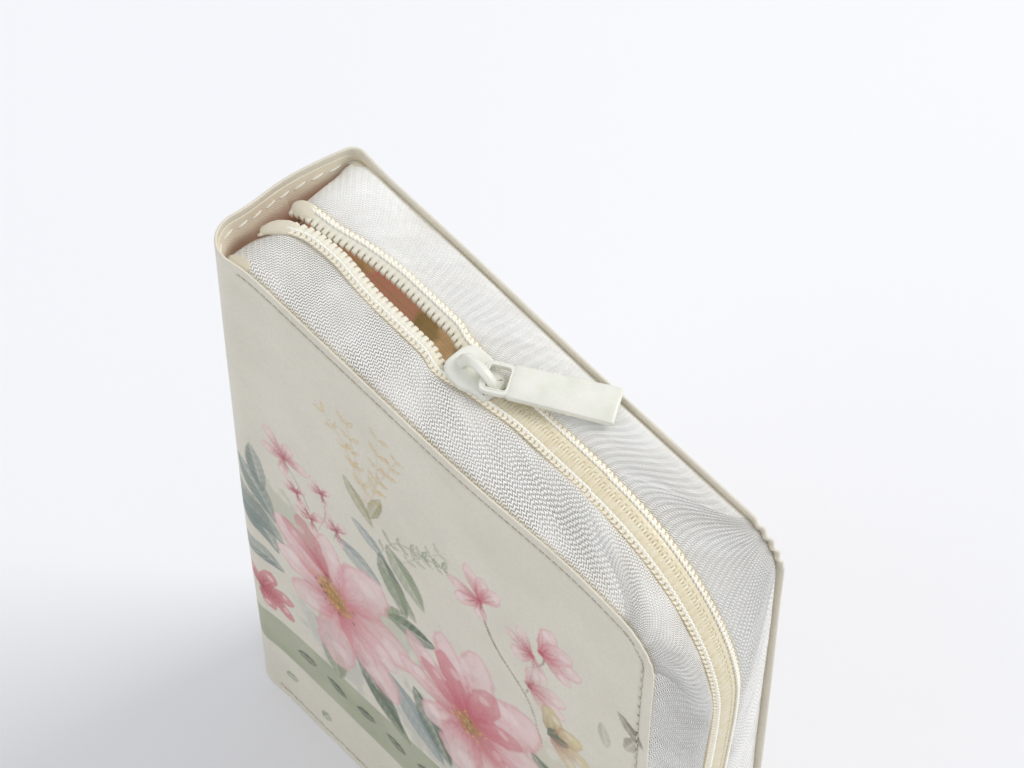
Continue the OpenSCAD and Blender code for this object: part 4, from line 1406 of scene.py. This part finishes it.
def page_edges():
    """Close-set leaves whose edges carry a soft colour print, with painted shade between the leaves and a
    painted glow that brightens the edges.
    """
    m = Shader("printed_page_edges", 0.78, 0.2)
    place = m.place()
    x, y, _ = m.axes(place)
    leaves = m.wave(m.plus(y, m.times(m.noise(place, 0.05, 2), 2.0)), 0.34)
    petals = m.noise(place, 0.085, 3)
    tan = m.shift(petals, 0.4, 0.65, srgb(206, 176, 132), srgb(172, 140, 96))
    rose = m.shift(petals, 0.4, 0.6, srgb(196, 118, 100), srgb(206, 150, 124))
    printed = m.shift(m.noise(place, 0.034, 2), 0.47, 0.53, tan, rose)
    printed = m.shift(m.noise(place, 0.06, 2), 0.58, 0.62, printed, srgb(112, 96, 52), 0.9)
    # the printed flower that shows in the zip's mouth: rose petals between olive leaves
    wavy = m.plus(x, m.times(m.noise(place, 0.11, 2), 14.0))
    bloom = m.times(m.range(wavy, -45.5, -44.0), m.range(wavy, -25.0, -27.0))
    leaf = m.times(m.range(wavy, -27.0, -25.0), m.range(wavy, -18.0, -20.0))
    bright = m.shift(petals, 0.42, 0.58, srgb(202, 120, 112), srgb(190, 142, 116))
    printed = m.blend(m.times(bloom, 0.85), printed, bright)
    printed = m.blend(m.times(leaf, 0.7), printed, srgb(128, 114, 66))
    # painted shade in the dark lines between the leaves
    print_and_painted_gap_shade = m.blend(m.range(leaves, -0.9, 0.4, 0.5, 0.0), printed, srgb(92, 66, 44))
    m.color(print_and_painted_gap_shade)
    # painted light: the page edges glow, to brighten them in the shade inside the zip
    m.glow(print_and_painted_gap_shade, 0.5)
    m.bump(leaves, 0.12, 0.6)
    return m.material


def paper(name, tone, shade):
    m = Shader(name, 0.8, 0.2)
    place = m.place()
    fibre = m.noise(place, 0.9, 5, 0.7)
    aged = m.plus(m.times(fibre, 0.4), m.times(m.noise(place, 0.03, 3), 0.6))
    m.color(m.shift(aged, 0.4, 0.62, tone, shade))
    m.bump(fibre, 0.05, 0.4)
    return m.material


def lining_cloth():
    """Cream lining with a faint plain weave, a little yellowed in its folds."""
    m = Shader("cream_lining", 0.6, 0.3, Sheen_Weight=0.1)
    place = m.place()
    x, y, z = m.axes(place)
    weave = m.times(m.wave(m.plus(x, y), 0.7), m.wave(z, 0.7))
    tone = m.shift(m.noise(place, 0.08, 4), 0.38, 0.66, srgb(238, 230, 210), srgb(231, 222, 200))
    m.color(m.shift(weave, -0.2, -1.0, tone, srgb(168, 154, 126), 0.25))
    m.bump(weave, 0.07, 0.5, m.bump(m.noise(place, 0.3, 3), 0.25, 0.4))
    return m.material


def greyboard():
    m = Shader("greyboard", 0.85, 0.15)
    fibre = m.noise(m.place("cad"), 1.4, 6, 0.75)
    m.color(m.shift(fibre, 0.4, 0.62, srgb(150, 142, 128), srgb(118, 110, 98)))
    m.bump(fibre, 0.15, 0.6)
    return m.material


def band_cloth(name, coords, tone, shade, pitch):
    """Woven band with fine ribs across it."""
    m = Shader(name, 0.7, 0.25)
    place = m.place(coords)
    ribs = m.bands(place, "Y", 1 / pitch, 0.4, 1.0)
    m.color(m.blend(m.range(ribs, 0.0, 0.6, 0.75, 0.0), tone, shade))
    m.bump(m.plus(ribs, m.times(m.noise(place, 2.2, 3), 0.5)), 0.12, 0.7)
    return m.material


def studio_floor():
    m = Shader("studio_floor", 0.9, 0.1)
    patchy = m.noise(m.add("TexCoord", 3), 1.2, 2)
    m.color(m.shift(patchy, 0.4, 0.6, srgb(243, 244, 248), srgb(240, 241, 246), 0.3))
    return m.material


# ---------------------------------------------------------------- camera, light and floor

def stand(obj, target, azimuth, elevation, distance):
    """Puts something where it looks at a target, with azimuth 0 looking along +Y."""
    a, e = math.radians(azimuth), math.radians(elevation)
    back = Vector((math.sin(a) * math.cos(e), -math.cos(a) * math.cos(e), math.sin(e)))
    obj.location = Vector(target) + back * distance
    obj.rotation_mode = "QUATERNION"
    obj.rotation_quaternion = (-back).to_track_quat("-Z", "Y")


def make_camera():
    data = bpy.data.cameras.new("camera")
    data.lens = 144.4
    data.sensor_width = 36
    data.clip_end = 10
    camera = add_to_scene("camera", data)
    middle = (CAD_BOX[0] + CAD_BOX[1]) / 2
    stand(camera, (middle.x + 0.0045, 0.0, 0.22607), 47.315, 58.675, 0.9287)
    bpy.context.scene.camera = camera


def make_light(name, azimuth, elevation, distance, size, power, tone):
    data = bpy.data.lights.new(name, "AREA")
    data.energy = power
    data.size = size
    data.color = tone
    stand(add_to_scene(name, data), (0, 0, 0.15), azimuth, elevation, distance)


def make_stage():
    world = bpy.data.worlds.new("studio")
    world.use_nodes = True
    shade = world.node_tree.nodes["Background"]
    shade.inputs[0].default_value = (0.97, 0.98, 1.0, 1)
    shade.inputs[1].default_value = 0.66
    bpy.context.scene.world = world
    bpy.context.scene.view_settings.view_transform = "Standard"
    make_light("key_from_behind", 152, 42, 4.0, 2.0, 86, (1.0, 0.985, 0.96))
    make_light("fill_from_front", -25, 35, 3.0, 2.4, 13, (0.98, 0.98, 1.0))
    bm = bmesh.new()
    bmesh.ops.create_grid(bm, x_segments=2, y_segments=2, size=6)
    mesh = bpy.data.meshes.new("floor")
    bm.to_mesh(mesh)
    bm.free()
    floor = add_to_scene("floor", mesh)
    dress(floor, studio_floor())


# ---------------------------------------------------------------- assembly

def add_covers(look):
    for side in (FRONT, BACK):
        cover = f"{SIDE_NAME[side]}_cover"
        leather = finish_piece(cover_leather(side), look["leather"], None,
                               (f"{cover}_skin", "spine_skin"))
        lining = finish_piece(cover_lining(side), look["lining"], None,
                              (f"{cover}_lining", "spine_lining"))
        for piece in (leather, lining):
            bend_at(piece)
        finish_piece(cover_board(side), look["board"], cover, (f"{cover}_board",))
        finish_piece(cover_stitching(side), look["thread"], cover, (f"{cover}_stitching",))
    finish_piece(spine_board(), look["board"], "root", ("spine_stiffener",))
    for z, end in ((HEIGHT - 4.9, "head"), (4.9, "tail")):
        finish_piece(spine_stitching(z, f"spine_{end}_thread"), look["white_thread"], "root",
                     (f"spine_{end}_stitching",))


def add_zip(look):
    for side in (FRONT, BACK):
        name = SIDE_NAME[side]
        body = f"{name}_cover"
        cloth = finish_piece(gusset(side), look["gusset"], body, (f"{name}_zip_tape",))
        finish_piece(teeth(side), look["coil"], body, (f"{name}_zip_coil",))
        finish_piece(cord(side), look["cord"], body, (f"{name}_coil_thread",))
        finish_piece(braid(side), look["braid"], body)
        finish_piece(end_tabs(side), look["tab"], body, (f"{name}_zip_end_tabs",))
    metal = ((slider_body, "slider", "slider_body"), (slider_crown, "slider", "slider_crown"),
             (pull, "pull", "pull_tab"))
    for make, body, node in metal:
        finish_piece(make(), look["enamel"], body, (node,))


def add_pages(look):
    turning = {1: "front_leaves", 2: "front_leaves", 7: "back_leaves", 8: "back_leaves"}
    for number in range(1, 9):
        node = f"page_section_{number}"
        lo, hi = box_mm(node)
        block = paper_block(f"leaves_{number}", lo[1] + 0.02, hi[1] - 0.02, BLOCK_LO[0], 300 + number)
        body = turning.get(number)
        folds = (f"{body.split('_')[0]}_section_folds",) if body else ()
        finish_piece(block, look["pages"], None if body else "root", (node, *folds))
        # the flat faces of a section are plain paper
        block.data.materials.append(look["leaf"])
        for face in block.data.polygons:
            face.material_index = int(abs(face.normal.y) > 0.9)
        if body:
            bend_at(block)
    for name in ("front", "back"):
        node = f"{name}_flyleaf"
        lo, hi = box_mm(node)
        leaf = paper_block(f"{name}_endpaper", lo[1], hi[1], BLOCK_LO[0] + 3, 320, 0.3)
        finish_piece(leaf, look["flyleaf"], None, (node,))
        bend_at(leaf)
    for node, key in (("spine_cloth", "mull"), ("head_band", "band"), ("tail_band", "band")):
        dress(frame["nodes"][node], look[key])


LOOK = {
    "leather": leatherette(),
    "lining": lining_cloth(),
    "board": greyboard(),
    "thread": sewing_thread("cover_thread", srgb(232, 226, 208), srgb(206, 196, 172)),
    "white_thread": sewing_thread("spine_thread", srgb(255, 254, 248), srgb(236, 230, 214)),
    "gusset": satin_weave(),
    "coil": nylon("coil_nylon", srgb(230, 222, 198), srgb(220, 207, 174), 0.5),
    # the cord and braid glow a little: painted light on threads that lie in the chain's shade
    "cord": sewing_thread("coil_cord", srgb(248, 247, 240), srgb(230, 224, 208), 0.16),
    "braid": sewing_thread("coil_braid", srgb(246, 240, 224), srgb(228, 216, 188), 0.22),
    "enamel": enamel(),
    "pages": page_edges(),
    "leaf": paper("page_paper", srgb(240, 232, 214), srgb(230, 219, 196)),
    "flyleaf": paper("endpaper", srgb(238, 228, 206), srgb(228, 215, 190)),
    "tab": band_cloth("end_tab_cloth", "rest", srgb(248, 241, 222), srgb(232, 220, 194), 0.5),
    "mull": band_cloth("spine_cloth", "cad", srgb(222, 216, 200), srgb(182, 172, 150), 0.9),
    "band": band_cloth("woven_band", "cad", srgb(236, 230, 214), srgb(176, 104, 92), 1.1),
}
add_covers(LOOK)
add_zip(LOOK)
add_pages(LOOK)
make_camera()
make_stage()
